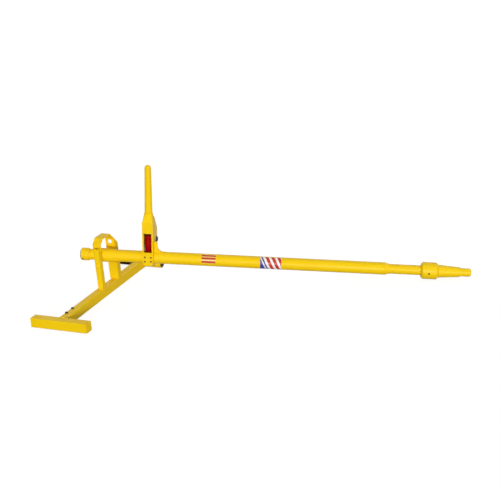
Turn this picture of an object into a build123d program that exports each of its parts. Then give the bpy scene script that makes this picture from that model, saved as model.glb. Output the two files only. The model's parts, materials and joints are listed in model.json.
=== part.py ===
"""Aircraft tow bar: a long steel bar carried in a swivelling sleeve on a low floor stand.

The bar runs along +X, dipping to its lock collar, which rests on the floor.
+Z is up and +Y points from the stand's front foot to its rear foot.
The origin is on the underside of the stand's stem, below the bar.
All sizes are in millimetres.
"""
import math
import os

from build123d import *

# ---------------------------------------------------------------- clearances
RUNNING = 0.05          # radial clearance of a turning or sliding fit
SLIP = 0.08             # radial clearance of a welded slip joint
SIDE = 0.3              # side clearance between moving flat faces
CURVED = 0.4            # gap between curved faces that don't bear on each other

# ------------------------------------------------------------ round corners
TUBE_ROUND = 0.7        # rounding of a square tube's corners, as a share of its wall
HEAD_ROUND = 0.6        # rounding of a screw's head, as a share of its height
RIM_ROUND = 0.5         # rounding of a plug's rim, as a share of its thickness

# ------------------------------------------------------------- stand: sizes
FOOT_SIZE = 38.1        # square tube of the front foot
FOOT_LENGTH = 240.0
FOOT_WALL = 3.0
CAP_THICKNESS = 2.5
STEM_WIDTH = 30.0
STEM_HEIGHT = 38.1
STEM_WALL = 3.0
FRONT_REACH = 377.0     # from the front of the foot to the swivel centre
REAR_REACH = 291.0      # from the swivel centre to the rear foot's axis
REAR_FOOT_OD = 38.1
REAR_FOOT_LENGTH = 198.0
REAR_FOOT_SHIFT = -7.0  # rear foot's middle from the stem's middle
REAR_FOOT_WALL = 4.0
PLUG_DEPTH = 14.0
FOOT_PLUG_LIP = 3.5     # plug's rim stays inside the rear foot's outside
NEAR_LEG_WIDTH = 22.0
NEAR_LEG_DEPTH = 25.0
NEAR_LEG_FRONT = 65.0   # from the swivel centre forward to the near leg's front
NEAR_LEG_TOP = 209.0    # height of the near leg's open top
FAR_LEG_WIDTH = 40.0    # also the width of the hoop
FAR_LEG_DEPTH = 28.0
FAR_LEG_FRONT = 52.0    # from the swivel centre back to the far leg's front
LEG_WALL = 3.0
HOOP_TOP = 241.0        # height of the top of the hoop
HOOP_THICKNESS = 4.5
HOOP_TAPER = 4.0        # how much narrower the hoop's near end is, at its right edge
NEAR_CORNER = (22.0, 21.0)      # near bevel: along the stem, down
FAR_CORNER = (49.0, 53.0)       # far bevel: along the stem, down
HOOP_TAIL = 24.0        # straight end of the hoop below its near bevel
LEG_HOLE_D = 18.0       # round hole in the far leg, above the tilt pivot
LEG_HOLE_HEIGHT = 199.0
LEG_OPEN = 178.0        # above this height the far leg is an angle, open at its back
STEM_BOLT_D = 6.0
STEM_BOLT_HEAD = (12.0, 4.5)    # diameter, height
STEM_BOLT_PITCH = 43.0
STEM_BOLT_START = 39.0  # from the foot's rear face to the first bolt
STEM_BOLT_SIDE = -8.0   # bolts' place across the stem
STEM_BOLT_SHANK = 12.0  # shank below the stem's top
LEG_BOLT_D = 6.0
LEG_BOLT_HEAD = (12.0, 5.0)     # diameter, height
LEG_BOLT_POINT = (4.0, 136.0)   # across the stem, above the floor
LEG_BOLT_SHANK = 12.0   # shank behind the near leg's front

# -------------------------------------------------- swivel and tilt: sizes
BAR_HEIGHT = 161.8      # height of the tilt pivot, at the bar's own axis
SWIVEL_YAW = 18.8       # how far the stand stands turned from square to the bar
PIN_OFFSET = 38.0       # from the bar's axis back to the swivel pin
PIN_D = 8.0
PIN_HEAD = (12.0, 3.0)
PIN_RING = (12.5, 1.6)
PIN_TIP = 2.0           # pin below its retaining ring
EYE_THICKNESS = 15.4
EYE_R = 7.5
LUG_THICKNESS = 7.0
DISC_D = 38.0
DISC_THICKNESS = 4.5
TRUNNION_D = 14.0
TRUNNION_BUSH_OD = 20.0
TRUNNION_FLANGE = (26.0, 1.2)
TRUNNION_BUSH_LENGTH = 10.0
TRUNNION_WASHER = (26.0, 2.0)
TRUNNION_NUT = (21.0, 12.0)     # across flats, height

# ------------------------------------------------------------- bar: sizes
BAR_OD = 48.3
BAR_WALL = 2.8
BAR_END = 1100.0        # right end of the main tube, from the swivel pin's plane
SLEEVE_OD = 54.5
SLEEVE_LENGTH = 70.0
SLEEVE_BORE = 46.2
BUSH_FLANGE = (53.0, 1.6)
BUSH_LENGTH = 22.0
STUB_WALL = 4.0
STUB_INSERT = 60.0      # how far the stub shaft reaches into the main tube
END_COLLAR_OD = 50.0
END_COLLAR_LENGTH = 32.0
END_COLLAR_GAP = 35.0   # bare stub shaft between the sleeve and the end collar
END_COLLAR_ROUND = 2.0
END_PLUG_RIM = 3.0
END_SCREW_ANGLE = 116.0 # set screw's direction, turned from straight up toward the front
END_SCREW_SHIFT = -9.0  # set screw from the middle of the collar
END_PLUG_LIP = 1.0
COLLAR_SCREW = (8.0, 1.5)       # set screw: diameter, recess below the surface
SOCKET_DEPTH = 2.5

# ------------------------------------------------- handle and latch: sizes
HANDLE_STATION = 169.0  # handle's centre along the bar
HANDLE_WIDTH = 43.0
HANDLE_FRONT = 35.0     # from the bar's axis forward to the handle's front, also the round below
HANDLE_REAR = 73.0      # from the bar's axis back to the handle's rear
HANDLE_SHOULDER = (20.0, 100.0)     # rear bevel: its top behind and its foot above the bar's axis
HANDLE_HEEL = 20.0      # bottom of the handle's rear above the bar's axis
PLATE = 5.0
HANDLE_TOP = 159.0      # top of the cheeks above the bar's axis
WINDOW = (30.0, 80.5)   # width, height
WINDOW_SILL = 32.5      # bottom of the window above the bar's axis
NECK_HEIGHT = 30.0
NECK_RIM = 1.0          # neck's top stands out from the grip
GRIP_BASE_D = 31.0
GRIP_TOP_D = 25.0
GRIP_LENGTH = 195.5
GRIP_ROUND = 7.5
STUD_D = 12.0
STUD_SINK = 60.0        # bore up into the grip
STUD_DROP = 18.0        # bore down into the neck
STUD_SHORT = 2.0        # room above the stud
LATCH_D = 26.0
LATCH_BOTTOM = 32.0     # latch above the bar's axis
LATCH_HEIGHT = 82.0
LATCH_ROUND = 2.0
LATCH_TRAVEL = 12.0
HEAD_ROOM = 2.0         # room left round and above the latch button when it is up
LATCH_NOSE_D = 12.0
LATCH_NOSE_LOW = 14.0   # tip of the latch's nose above the bar's axis
LATCH_NOSE_BEVEL = 1.5
LATCH_STEM_D = 8.0
LATCH_HEAD = (18.0, 6.0)
LATCH_FORWARD = 12.0    # latch axis in front of the bar's axis
SPRING_WALL = 2.0
SHELF_DROP = 14.0       # latch shelf below the top of the cheeks
SHELF_REAR = 24.0       # shelf behind the bar's axis
CLAMP_HEIGHT = 46.0
CLAMP_SCREW_D = 5.0
CLAMP_SCREW_HEAD = (6.5, 2.4)
CLAMP_SCREW_PITCH = (24.0, 18.0)
CLAMP_SCREW_HEIGHT = 4.0        # middle of the four screws above the bar's axis
SIDE_BOLT_D = 10.0
SIDE_BOLT_HEAD = (21.0, 6.5)
SIDE_BOLT_POINT = (46.0, 61.0)  # behind the bar's axis, above the bar's axis
SIDE_NUT_D = 18.0
GUSSET_HOLLOW_R = 24.0
GUSSET_THICKNESS = 10.0
GUSSET_TOE = (12.0, 1.0)        # beside the cheek, on the tube
GUSSET_BEVEL = 6.0
GUSSET_RISE = 18.0      # straight edge above the hollow

# ----------------------------------------------------------- spigot: sizes
INNER_OD = 38.1
INNER_WALL = 3.2
INNER_SHOWN = 139.5     # from the main tube's end to the lock collar
INNER_INSIDE = 260.0    # inner tube held inside the main tube
NOSE_LENGTH = 14.0
NOSE_LIP = 1.6          # wall left at the nose ring's small end
NOSE_INSERT = 40.0
GUIDE_LENGTH = 30.0
LOCK_COLLAR_OD = 66.0
LOCK_COLLAR_LENGTH = 67.5
LOCK_COLLAR_BEVEL = 7.0
LOCK_SCREW_SHIFT = -3.0 # lock collar's screw from the middle of the collar
CONE_LENGTH = 85.0
CONE_D = (50.0, 38.0)
CONE_BEVEL = 1.5
SPIGOT_D = 32.0
SPIGOT_LENGTH = 43.0
SPIGOT_ROUND = 8.0
TANG_D = 24.0           # shank that joins cone, collar and inner tube
TANG_INSERT = 40.0      # shank inside the inner tube

# --------------------------------------------------------- derived places
FOOT_TOP = FOOT_SIZE
STEM_FRONT = -FRONT_REACH + FOOT_SIZE
STEM_REAR = REAR_REACH - REAR_FOOT_OD / 2
SLEEVE_END = SLEEVE_LENGTH / 2
BAR_START = SLEEVE_END + BUSH_FLANGE[1]
END_COLLAR_RIGHT = -SLEEVE_END - END_COLLAR_GAP
END_COLLAR_LEFT = END_COLLAR_RIGHT - END_COLLAR_LENGTH
END_SCREW_X = (END_COLLAR_LEFT + END_COLLAR_RIGHT) / 2 + END_SCREW_SHIFT
BAR_BORE = BAR_OD - 2 * BAR_WALL
STUB_OD = BAR_BORE - 2 * SLIP
TRUNNION_FRONT = FAR_LEG_FRONT - TRUNNION_FLANGE[1]
PIN_Y = TRUNNION_FRONT - DISC_THICKNESS - EYE_R - SIDE
LOCK_LEFT = BAR_END + INNER_SHOWN
LOCK_RIGHT = LOCK_LEFT + LOCK_COLLAR_LENGTH
CONE_RIGHT = LOCK_RIGHT + CONE_LENGTH
LOCK_SCREW_X = (LOCK_LEFT + LOCK_RIGHT) / 2 + LOCK_SCREW_SHIFT
FAR_LEG_BACK = FAR_LEG_FRONT + FAR_LEG_DEPTH
SHELF_Z = HANDLE_TOP - SHELF_DROP
LATCH_Y = -LATCH_FORWARD


def dip_angle():
    """Tilt of the yoke that sets the lock collar's lower edge on the floor."""
    yaw = math.radians(SWIVEL_YAW)
    edge = LOCK_RIGHT - LOCK_COLLAR_BEVEL
    reach = PIN_OFFSET * math.sin(yaw) + edge * math.cos(yaw)
    sine = 0.0
    for _ in range(8):
        upright = math.sqrt(1 - (sine * math.cos(yaw)) ** 2)
        sine = (BAR_HEIGHT - LOCK_COLLAR_OD / 2 * upright) / reach
    return math.degrees(math.asin(sine))


STAND = Rot(0, 0, -SWIVEL_YAW)
YOKE = STAND * Pos(0, 0, BAR_HEIGHT) * Rot(0, dip_angle(), 0)
BAR = YOKE * Pos(0, PIN_Y, 0) * Rot(0, 0, SWIVEL_YAW) * Pos(0, -PIN_OFFSET, 0)


# ---------------------------------------------------------------- helpers
def block(x, y, z):
    """Box between the given limits, each a (low, high) pair."""
    size = [high - low for low, high in (x, y, z)]
    middle = [(high + low) / 2 for low, high in (x, y, z)]
    return Pos(*middle) * Box(*size)


def rod_x(x0, x1, d, y=0.0, z=0.0):
    """Round rod along X from x0 to x1."""
    return Pos((x0 + x1) / 2, y, z) * Rot(0, 90, 0) * Cylinder(d / 2, x1 - x0)


def rod_y(y0, y1, d, x=0.0, z=0.0):
    """Round rod along Y from y0 to y1."""
    return Pos(x, (y0 + y1) / 2, z) * Rot(90, 0, 0) * Cylinder(d / 2, y1 - y0)


def rod_z(z0, z1, d, x=0.0, y=0.0):
    """Round rod along Z from z0 to z1."""
    return Pos(x, y, (z0 + z1) / 2) * Cylinder(d / 2, z1 - z0)


def turned(points):
    """Solid turned about the X axis from (x, radius) points."""
    return revolve(Plane.XY * make_face(Polyline(*points, close=True)), Axis.X)


def hex_y(y0, y1, flats, x=0.0, z=0.0):
    """Hexagonal prism along Y."""
    face = Plane.XZ * RegularPolygon(flats / 2, 6, major_radius=False)
    return Pos(x, y1, z) * extrude(face, y1 - y0)


def profile_x(points, x0, x1):
    """Prism along X between x0 and x1 from (y, z) points."""
    face = Plane.YZ * make_face(Polyline(*points, close=True))
    return Pos(x0, 0, 0) * extrude(face, x1 - x0)


def write(name, frame, *solids):
    """Write one sub-part, placed in its frame, to its own file."""
    placed = [frame * solid for solid in solids]
    shape = placed[0] if len(placed) == 1 else Compound(children=placed)
    export_step(shape, f"parts/{name}.step")


# ------------------------------------------------------------------- stand
def foot_tube():
    """Front foot: square tube across the stem."""
    half = FOOT_LENGTH / 2
    y = (-FRONT_REACH, STEM_FRONT)
    outer = block((-half, half), y, (0, FOOT_TOP))
    outer = fillet(outer.edges().filter_by(Axis.X), FOOT_WALL)
    inner = block((-half, half), (y[0] + FOOT_WALL, y[1] - FOOT_WALL), (FOOT_WALL, FOOT_TOP - FOOT_WALL))
    return outer - inner


def foot_cap(side):
    """Plate that closes one end of the front foot."""
    inner = side * FOOT_LENGTH / 2
    x = sorted((inner, inner + side * CAP_THICKNESS))
    plate = block(x, (-FRONT_REACH, STEM_FRONT), (0, FOOT_TOP))
    return fillet(plate.edges().filter_by(Axis.X), FOOT_WALL)


def stem_tube():
    """Stem: rectangular tube from the front foot to the rear foot, coped to it."""
    half = STEM_WIDTH / 2
    y = (STEM_FRONT, REAR_REACH)
    outer = block((-half, half), y, (0, STEM_HEIGHT))
    outer = fillet(outer.edges().filter_by(Axis.Y), STEM_WALL * TUBE_ROUND)
    inner = block((-half + STEM_WALL, half - STEM_WALL), y, (STEM_WALL, STEM_HEIGHT - STEM_WALL))
    cope = rod_x(-half, half, REAR_FOOT_OD, REAR_REACH, REAR_FOOT_OD / 2)
    shape = outer - inner - cope
    for place in stem_bolt_places():
        shape -= rod_z(STEM_HEIGHT - STEM_WALL, STEM_HEIGHT, STEM_BOLT_D + 2 * RUNNING, STEM_BOLT_SIDE, place)
    return shape.solids().sort_by(SortBy.VOLUME)[-1]


def stem_bolt_places():
    """Positions along the stem of the bolts behind the front foot."""
    first = STEM_FRONT + STEM_BOLT_START
    return [first, first + STEM_BOLT_PITCH]


def stem_bolt(place):
    """Domed-head bolt in the top of the stem."""
    head_d, head_h = STEM_BOLT_HEAD
    head = rod_z(STEM_HEIGHT, STEM_HEIGHT + head_h, head_d, STEM_BOLT_SIDE, place)
    head = fillet(head.edges().sort_by(Axis.Z)[-1], head_h * HEAD_ROUND)
    return head + rod_z(STEM_HEIGHT - STEM_BOLT_SHANK, STEM_HEIGHT, STEM_BOLT_D, STEM_BOLT_SIDE, place)


def rear_foot_tube():
    """Rear foot: round tube across the stem."""
    x = (rear_foot_end(-1), rear_foot_end(1))
    z = REAR_FOOT_OD / 2
    bore = REAR_FOOT_OD - 2 * REAR_FOOT_WALL
    return rod_x(*x, REAR_FOOT_OD, REAR_REACH, z) - rod_x(*x, bore, REAR_REACH, z)


def rear_foot_end(side):
    """Left or right end of the rear foot, across the stem."""
    return REAR_FOOT_SHIFT + side * REAR_FOOT_LENGTH / 2


def rear_foot_plug(side):
    """Plastic plug pushed into one end of the rear foot."""
    end = rear_foot_end(side)
    x = sorted((end, end - side * PLUG_DEPTH))
    bore = REAR_FOOT_OD - 2 * REAR_FOOT_WALL
    plug = rod_x(*x, bore - 2 * RUNNING, REAR_REACH, REAR_FOOT_OD / 2)
    x = sorted((end, end + side * END_PLUG_RIM))
    rim = rod_x(*x, REAR_FOOT_OD - 2 * FOOT_PLUG_LIP, REAR_REACH, REAR_FOOT_OD / 2)
    outer = rim.edges().filter_by(GeomType.CIRCLE).sort_by(Axis.X)[-1 if side > 0 else 0]
    return plug + fillet(outer, END_PLUG_RIM * RIM_ROUND)


def hoop_path():
    """(y, z) points along the outer face of the hoop, from its near end to its far end."""
    near = -NEAR_LEG_FRONT + NEAR_LEG_DEPTH - HOOP_THICKNESS
    return [
        (near, HOOP_TOP - NEAR_CORNER[1] - HOOP_TAIL),
        (near, HOOP_TOP - NEAR_CORNER[1]),
        (near + NEAR_CORNER[0], HOOP_TOP),
        (FAR_LEG_BACK - FAR_CORNER[0], HOOP_TOP),
        (FAR_LEG_BACK + FAR_CORNER[0], HOOP_TOP - 2 * FAR_CORNER[1]),
    ]


def shifted(points, distance):
    """Open path moved sideways to its right, with its corners mitred."""
    lines = []
    for (y0, z0), (y1, z1) in zip(points, points[1:]):
        length = math.hypot(y1 - y0, z1 - z0)
        normal = ((z1 - z0) / length, -(y1 - y0) / length)
        start = (y0 + normal[0] * distance, z0 + normal[1] * distance)
        lines.append((start, ((y1 - y0) / length, (z1 - z0) / length), length))
    path = [lines[0][0]]
    for (a, u, _), (b, v, _) in zip(lines, lines[1:]):
        cross = u[0] * v[1] - u[1] * v[0]
        t = ((b[0] - a[0]) * v[1] - (b[1] - a[1]) * v[0]) / cross
        path.append((a[0] + u[0] * t, a[1] + u[1] * t))
    start, direction, length = lines[-1]
    path.append((start[0] + direction[0] * length, start[1] + direction[1] * length))
    return path


def near_leg():
    """Near leg: open-topped tube on the stem in front of the bar, notched for the hoop's end."""
    right = STEM_WIDTH / 2
    x = (right - NEAR_LEG_WIDTH, right)
    y = (-NEAR_LEG_FRONT, -NEAR_LEG_FRONT + NEAR_LEG_DEPTH)
    bolt_x, bolt_z = LEG_BOLT_POINT
    tube = leg(x, y, NEAR_LEG_TOP) - rod_y(y[0], y[0] + LEG_WALL, LEG_BOLT_D + 2 * RUNNING, bolt_x, bolt_z)
    return tube - block(x, (y[1] - HOOP_THICKNESS, y[1]), (hoop_path()[0][1], NEAR_LEG_TOP))


def leg_bolt():
    """Domed-head bolt in the front of the near leg."""
    x, z = LEG_BOLT_POINT
    head_d, head_h = LEG_BOLT_HEAD
    head = rod_y(-NEAR_LEG_FRONT - head_h, -NEAR_LEG_FRONT, head_d, x, z)
    head = fillet(head.edges().filter_by(GeomType.CIRCLE).sort_by(Axis.Y)[0], head_h * HEAD_ROUND)
    return head + rod_y(-NEAR_LEG_FRONT, -NEAR_LEG_FRONT + LEG_BOLT_SHANK, LEG_BOLT_D, x, z)


def far_leg():
    """Far leg: tube behind the bar that carries the tilt pivot, cut to an angle under the hoop."""
    half = FAR_LEG_WIDTH / 2
    y = (FAR_LEG_FRONT, FAR_LEG_BACK)
    shape = leg((-half, half), y, HOOP_TOP)
    high = 2 * HOOP_TOP
    bevel = hoop_path()[-2:]
    shape -= profile_x([*bevel, (bevel[1][0], high), (bevel[0][0], high)], -half, half)
    shape -= block((-half, half - LEG_WALL), (y[0] + LEG_WALL, y[1]), (LEG_OPEN, high))
    shape -= rod_y(*y, LEG_HOLE_D, 0, LEG_HOLE_HEIGHT)
    return shape - rod_y(*y, TRUNNION_BUSH_OD, 0, BAR_HEIGHT)


def leg(x, y, top):
    """Upright rectangular tube from the stem's top to the given height."""
    outer = block(x, y, (STEM_HEIGHT, top))
    outer = fillet(outer.edges().filter_by(Axis.Z), LEG_WALL * TUBE_ROUND)
    inner = block((x[0] + LEG_WALL, x[1] - LEG_WALL), (y[0] + LEG_WALL, y[1] - LEG_WALL), (STEM_HEIGHT, top))
    return outer - inner


def hoop():
    """Bent flat bar from the near leg over the bar to the far leg."""
    half = FAR_LEG_WIDTH / 2
    path = hoop_path()
    bar = profile_x(path + shifted(path, HOOP_THICKNESS)[::-1], -half, half)
    near = path[0][0]
    corner = Polyline((half - HOOP_TAPER, near), (half, near), (half, FAR_LEG_FRONT), close=True)
    bar -= extrude(make_face(corner), HOOP_TOP)
    return bar - block((-half, half), (FAR_LEG_FRONT, 2 * FAR_LEG_BACK), (0, HOOP_TOP))


def trunnion_bush(front):
    """Flanged bush in one wall of the far leg."""
    flange_d, flange_t = TRUNNION_FLANGE
    face = FAR_LEG_FRONT if front else FAR_LEG_BACK
    inward = 1 if front else -1
    inner = face + inward * TRUNNION_BUSH_LENGTH
    outer = face - inward * flange_t
    body = rod_y(*sorted((face, inner)), TRUNNION_BUSH_OD, 0, BAR_HEIGHT)
    flange = rod_y(*sorted((face, outer)), flange_d, 0, BAR_HEIGHT)
    return body + flange - rod_y(*sorted((inner, outer)), TRUNNION_D + 2 * RUNNING, 0, BAR_HEIGHT)


# --------------------------------------------------------- tilt and swivel
def yoke():
    """Yoke: trunnion shaft with a disc and two lugs for the swivel pin."""
    back = FAR_LEG_BACK + TRUNNION_FLANGE[1] + TRUNNION_WASHER[1] + TRUNNION_NUT[1]
    disc_front = TRUNNION_FRONT - DISC_THICKNESS
    shape = rod_y(disc_front, TRUNNION_FRONT, DISC_D) + rod_y(TRUNNION_FRONT, back, TRUNNION_D)
    low = EYE_THICKNESS / 2 + SIDE
    for side in (-1, 1):
        z = sorted((side * low, side * (low + LUG_THICKNESS)))
        lug = block((-EYE_R, EYE_R), (PIN_Y, disc_front), z) + rod_z(*z, 2 * EYE_R, 0, PIN_Y)
        shape += lug
    reach = low + LUG_THICKNESS
    return shape - rod_z(-reach, reach, PIN_D + 2 * RUNNING, 0, PIN_Y)


def trunnion_washer():
    """Washer between the far leg's rear bush and the nut."""
    start = FAR_LEG_BACK + TRUNNION_FLANGE[1]
    d, t = TRUNNION_WASHER
    return rod_y(start, start + t, d) - rod_y(start, start + t, TRUNNION_D + 2 * RUNNING)


def trunnion_nut():
    """Nut on the end of the trunnion shaft."""
    start = FAR_LEG_BACK + TRUNNION_FLANGE[1] + TRUNNION_WASHER[1]
    flats, height = TRUNNION_NUT
    return hex_y(start, start + height, flats) - rod_y(start, start + height, TRUNNION_D + 2 * RUNNING)


def swivel_pin():
    """Headed pin through the yoke's lugs and the sleeve's eye."""
    reach = EYE_THICKNESS / 2 + SIDE + LUG_THICKNESS
    head_d, head_h = PIN_HEAD
    groove = reach + PIN_RING[1]
    pin = rod_z(-groove - PIN_TIP, reach, PIN_D, 0, PIN_Y)
    return pin + rod_z(reach, reach + head_h, head_d, 0, PIN_Y)


def swivel_pin_ring():
    """Retaining ring under the lower lug."""
    reach = EYE_THICKNESS / 2 + SIDE + LUG_THICKNESS
    d, t = PIN_RING
    return rod_z(-reach - t, -reach, d, 0, PIN_Y) - rod_z(-reach - t, -reach, PIN_D + 2 * RUNNING, 0, PIN_Y)


def bearing_sleeve():
    """Sleeve that the bar rolls in, with its eye for the swivel pin."""
    shape = rod_x(-SLEEVE_END, SLEEVE_END, SLEEVE_OD)
    z = (-EYE_THICKNESS / 2, EYE_THICKNESS / 2)
    shape += block((-EYE_R, EYE_R), (0, PIN_OFFSET), z) + rod_z(*z, 2 * EYE_R, 0, PIN_OFFSET)
    shape -= rod_z(*z, PIN_D + 2 * RUNNING, 0, PIN_OFFSET)
    return shape - rod_x(-SLEEVE_END, SLEEVE_END, SLEEVE_BORE)


def sleeve_bush(side):
    """Flanged bronze bush in one end of the sleeve."""
    flange_d, flange_t = BUSH_FLANGE
    inner = side * (SLEEVE_END - BUSH_LENGTH)
    face = side * SLEEVE_END
    outer = side * (SLEEVE_END + flange_t)
    bush = rod_x(*sorted((inner, face)), SLEEVE_BORE) + rod_x(*sorted((face, outer)), flange_d)
    return bush - rod_x(*sorted((inner, outer)), STUB_OD + 2 * RUNNING)


# --------------------------------------------------------------------- bar
def stub_shaft():
    """Thick tube that runs in the sleeve and is welded into the main tube."""
    x = (END_COLLAR_LEFT, BAR_START + STUB_INSERT)
    return rod_x(*x, STUB_OD) - rod_x(*x, STUB_OD - 2 * STUB_WALL)


def end_collar():
    """Collar that keeps the bar in the sleeve."""
    x = (END_COLLAR_LEFT, END_COLLAR_RIGHT)
    collar = rod_x(*x, END_COLLAR_OD)
    collar = fillet(collar.edges().filter_by(GeomType.CIRCLE), END_COLLAR_ROUND)
    screw_d = COLLAR_SCREW[0]
    hole = Pos(END_SCREW_X, 0, 0) * Rot(END_SCREW_ANGLE, 0, 0) * rod_z(0, END_COLLAR_OD, screw_d)
    return collar - rod_x(*x, STUB_OD + 2 * SLIP) - hole


def end_collar_screw():
    """Set screw of the end collar."""
    screw_d, recess = COLLAR_SCREW
    z = (STUB_OD / 2 + SLIP, END_COLLAR_OD / 2 - recess)
    screw = rod_z(*z, screw_d - 2 * RUNNING)
    socket = rod_z(z[1] - SOCKET_DEPTH, z[1], screw_d / 2)
    return Pos(END_SCREW_X, 0, 0) * Rot(END_SCREW_ANGLE, 0, 0) * (screw - socket)


def end_plug():
    """Plastic plug in the open end of the stub shaft."""
    bore = STUB_OD - 2 * STUB_WALL
    plug = rod_x(END_COLLAR_LEFT, END_COLLAR_LEFT + PLUG_DEPTH, bore - 2 * RUNNING)
    rim = rod_x(END_COLLAR_LEFT - END_PLUG_RIM, END_COLLAR_LEFT, STUB_OD - 2 * END_PLUG_LIP)
    return plug + fillet(rim.edges().sort_by(Axis.X)[0], END_PLUG_RIM * RIM_ROUND)


def main_tube():
    """Long tube of the bar."""
    x = (BAR_START, BAR_END)
    hole_z = (0, BAR_OD)
    latch_hole = rod_z(*hole_z, LATCH_NOSE_D + 2 * CURVED, HANDLE_STATION, LATCH_Y)
    return rod_x(*x, BAR_OD) - rod_x(*x, BAR_BORE) - latch_hole


def nose_ring():
    """Tapered ring in the end of the main tube that guides the inner tube."""
    bore = INNER_OD + 2 * RUNNING
    points = [
        (BAR_END - NOSE_INSERT, bore / 2),
        (BAR_END - NOSE_INSERT, STUB_OD / 2),
        (BAR_END, STUB_OD / 2),
        (BAR_END, BAR_OD / 2),
        (BAR_END + NOSE_LENGTH, bore / 2 + NOSE_LIP),
        (BAR_END + NOSE_LENGTH, bore / 2),
    ]
    return turned(points)


# ------------------------------------------------------------------ handle
def cheek(side):
    """Side plate of the handle, round below where it wraps the bar."""
    outer = HANDLE_STATION + side * HANDLE_WIDTH / 2
    x = sorted((outer, outer - side * PLATE))
    heel = math.atan2(HANDLE_HEEL, HANDLE_REAR)
    turn = heel - math.acos(HANDLE_FRONT / math.hypot(HANDLE_HEEL, HANDLE_REAR))
    outline = [
        (0, 0),
        (-HANDLE_FRONT, 0),
        (-HANDLE_FRONT, HANDLE_TOP),
        *rear_path(),
        (HANDLE_FRONT * math.cos(turn), HANDLE_FRONT * math.sin(turn)),
    ]
    plate = profile_x(outline, *x) + rod_x(*x, 2 * HANDLE_FRONT)
    plate -= rod_x(*x, BAR_OD + 2 * SLIP)
    y, z = SIDE_BOLT_POINT
    return plate - rod_x(*x, SIDE_BOLT_D + 2 * RUNNING, y, z)


def rear_path():
    """(y, z) points down the outside of the handle's rear."""
    back, low = HANDLE_SHOULDER
    return [(back, HANDLE_TOP), (HANDLE_REAR, low), (HANDLE_REAR, HANDLE_HEEL)]


def inner_width():
    """Limits along the bar between the two cheeks."""
    half = HANDLE_WIDTH / 2 - PLATE
    return (HANDLE_STATION - half, HANDLE_STATION + half)


def front_plate():
    """Front plate of the handle with the window for the latch."""
    y = (-HANDLE_FRONT, -HANDLE_FRONT + PLATE)
    width, height = WINDOW
    plate = block(inner_width(), y, (CLAMP_HEIGHT / 2, HANDLE_TOP))
    x = (HANDLE_STATION - width / 2, HANDLE_STATION + width / 2)
    opening = block(x, y, (WINDOW_SILL, WINDOW_SILL + height))
    return plate - opening


def rear_plate():
    """Bent rear plate of the handle."""
    path = rear_path()
    return profile_x(path + shifted(path, PLATE)[::-1], *inner_width())


def clamp_plate():
    """Plate in front of the bar that the four screws hold."""
    y = (-HANDLE_FRONT, -HANDLE_FRONT + PLATE)
    plate = block(inner_width(), y, (-CLAMP_HEIGHT / 2, CLAMP_HEIGHT / 2))
    for x, z in clamp_screw_places():
        plate -= rod_y(*y, CLAMP_SCREW_D + 2 * RUNNING, x, z)
    return plate


def clamp_screw_places():
    """(x, z) of the four screws of the clamp plate."""
    px, pz = (pitch / 2 for pitch in CLAMP_SCREW_PITCH)
    x, z = HANDLE_STATION, CLAMP_SCREW_HEIGHT
    return [(x - px, z - pz), (x - px, z + pz), (x + px, z - pz), (x + px, z + pz)]


def clamp_screw(x, z):
    """Round-headed screw through the clamp plate."""
    front = -HANDLE_FRONT
    head_d, head_h = CLAMP_SCREW_HEAD
    head = rod_y(front - head_h, front, head_d, x, z)
    head = fillet(head.edges().filter_by(GeomType.CIRCLE).sort_by(Axis.Y)[0], head_h * HEAD_ROUND)
    return head + rod_y(front, front + PLATE, CLAMP_SCREW_D, x, z)


def latch_shelf():
    """Shelf inside the handle that guides the latch stem."""
    y = (-HANDLE_FRONT + PLATE, SHELF_REAR)
    shelf = block(inner_width(), y, (SHELF_Z - PLATE, SHELF_Z))
    return shelf - rod_z(SHELF_Z - PLATE, SHELF_Z, LATCH_STEM_D + 2 * RUNNING, HANDLE_STATION, LATCH_Y)


def neck():
    """Tapered block that closes the handle and carries the grip."""
    half_x = HANDLE_WIDTH / 2
    rear = HANDLE_SHOULDER[0]
    top_z = HANDLE_TOP + NECK_HEIGHT
    base = Rectangle(2 * half_x, HANDLE_FRONT + rear)
    base = Plane.XY.offset(HANDLE_TOP) * Pos(0, (rear - HANDLE_FRONT) / 2) * base
    top = Plane.XY.offset(top_z) * Circle(GRIP_BASE_D / 2 + NECK_RIM)
    reach = LATCH_HEAD[0] / 2 + HEAD_ROOM
    pocket_top = SHELF_Z + LATCH_HEAD[1] + LATCH_TRAVEL + HEAD_ROOM
    pocket = block((PLATE - half_x, half_x - PLATE), (LATCH_Y - reach, LATCH_Y + reach), (HANDLE_TOP, pocket_top))
    bore = rod_z(top_z - STUD_DROP, top_z, STUD_D)
    return Pos(HANDLE_STATION, 0, 0) * (loft([base, top]) - pocket - bore)


def grip():
    """Tapered grip with a rounded top."""
    low = HANDLE_TOP + NECK_HEIGHT
    shape = Cone(GRIP_BASE_D / 2, GRIP_TOP_D / 2, GRIP_LENGTH)
    shape = Pos(0, 0, low + GRIP_LENGTH / 2) * shape
    rim = shape.edges().filter_by(GeomType.CIRCLE).sort_by(Axis.Z)[-1]
    shape = fillet(rim, GRIP_ROUND)
    shape -= rod_z(low, low + STUD_SINK, STUD_D)
    return Pos(HANDLE_STATION, 0, 0) * shape


def grip_stud():
    """Stud that screws the grip to the neck."""
    low = HANDLE_TOP + NECK_HEIGHT
    return rod_z(low - STUD_DROP, low + STUD_SINK - STUD_SHORT, STUD_D - 2 * RUNNING, HANDLE_STATION)


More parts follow.
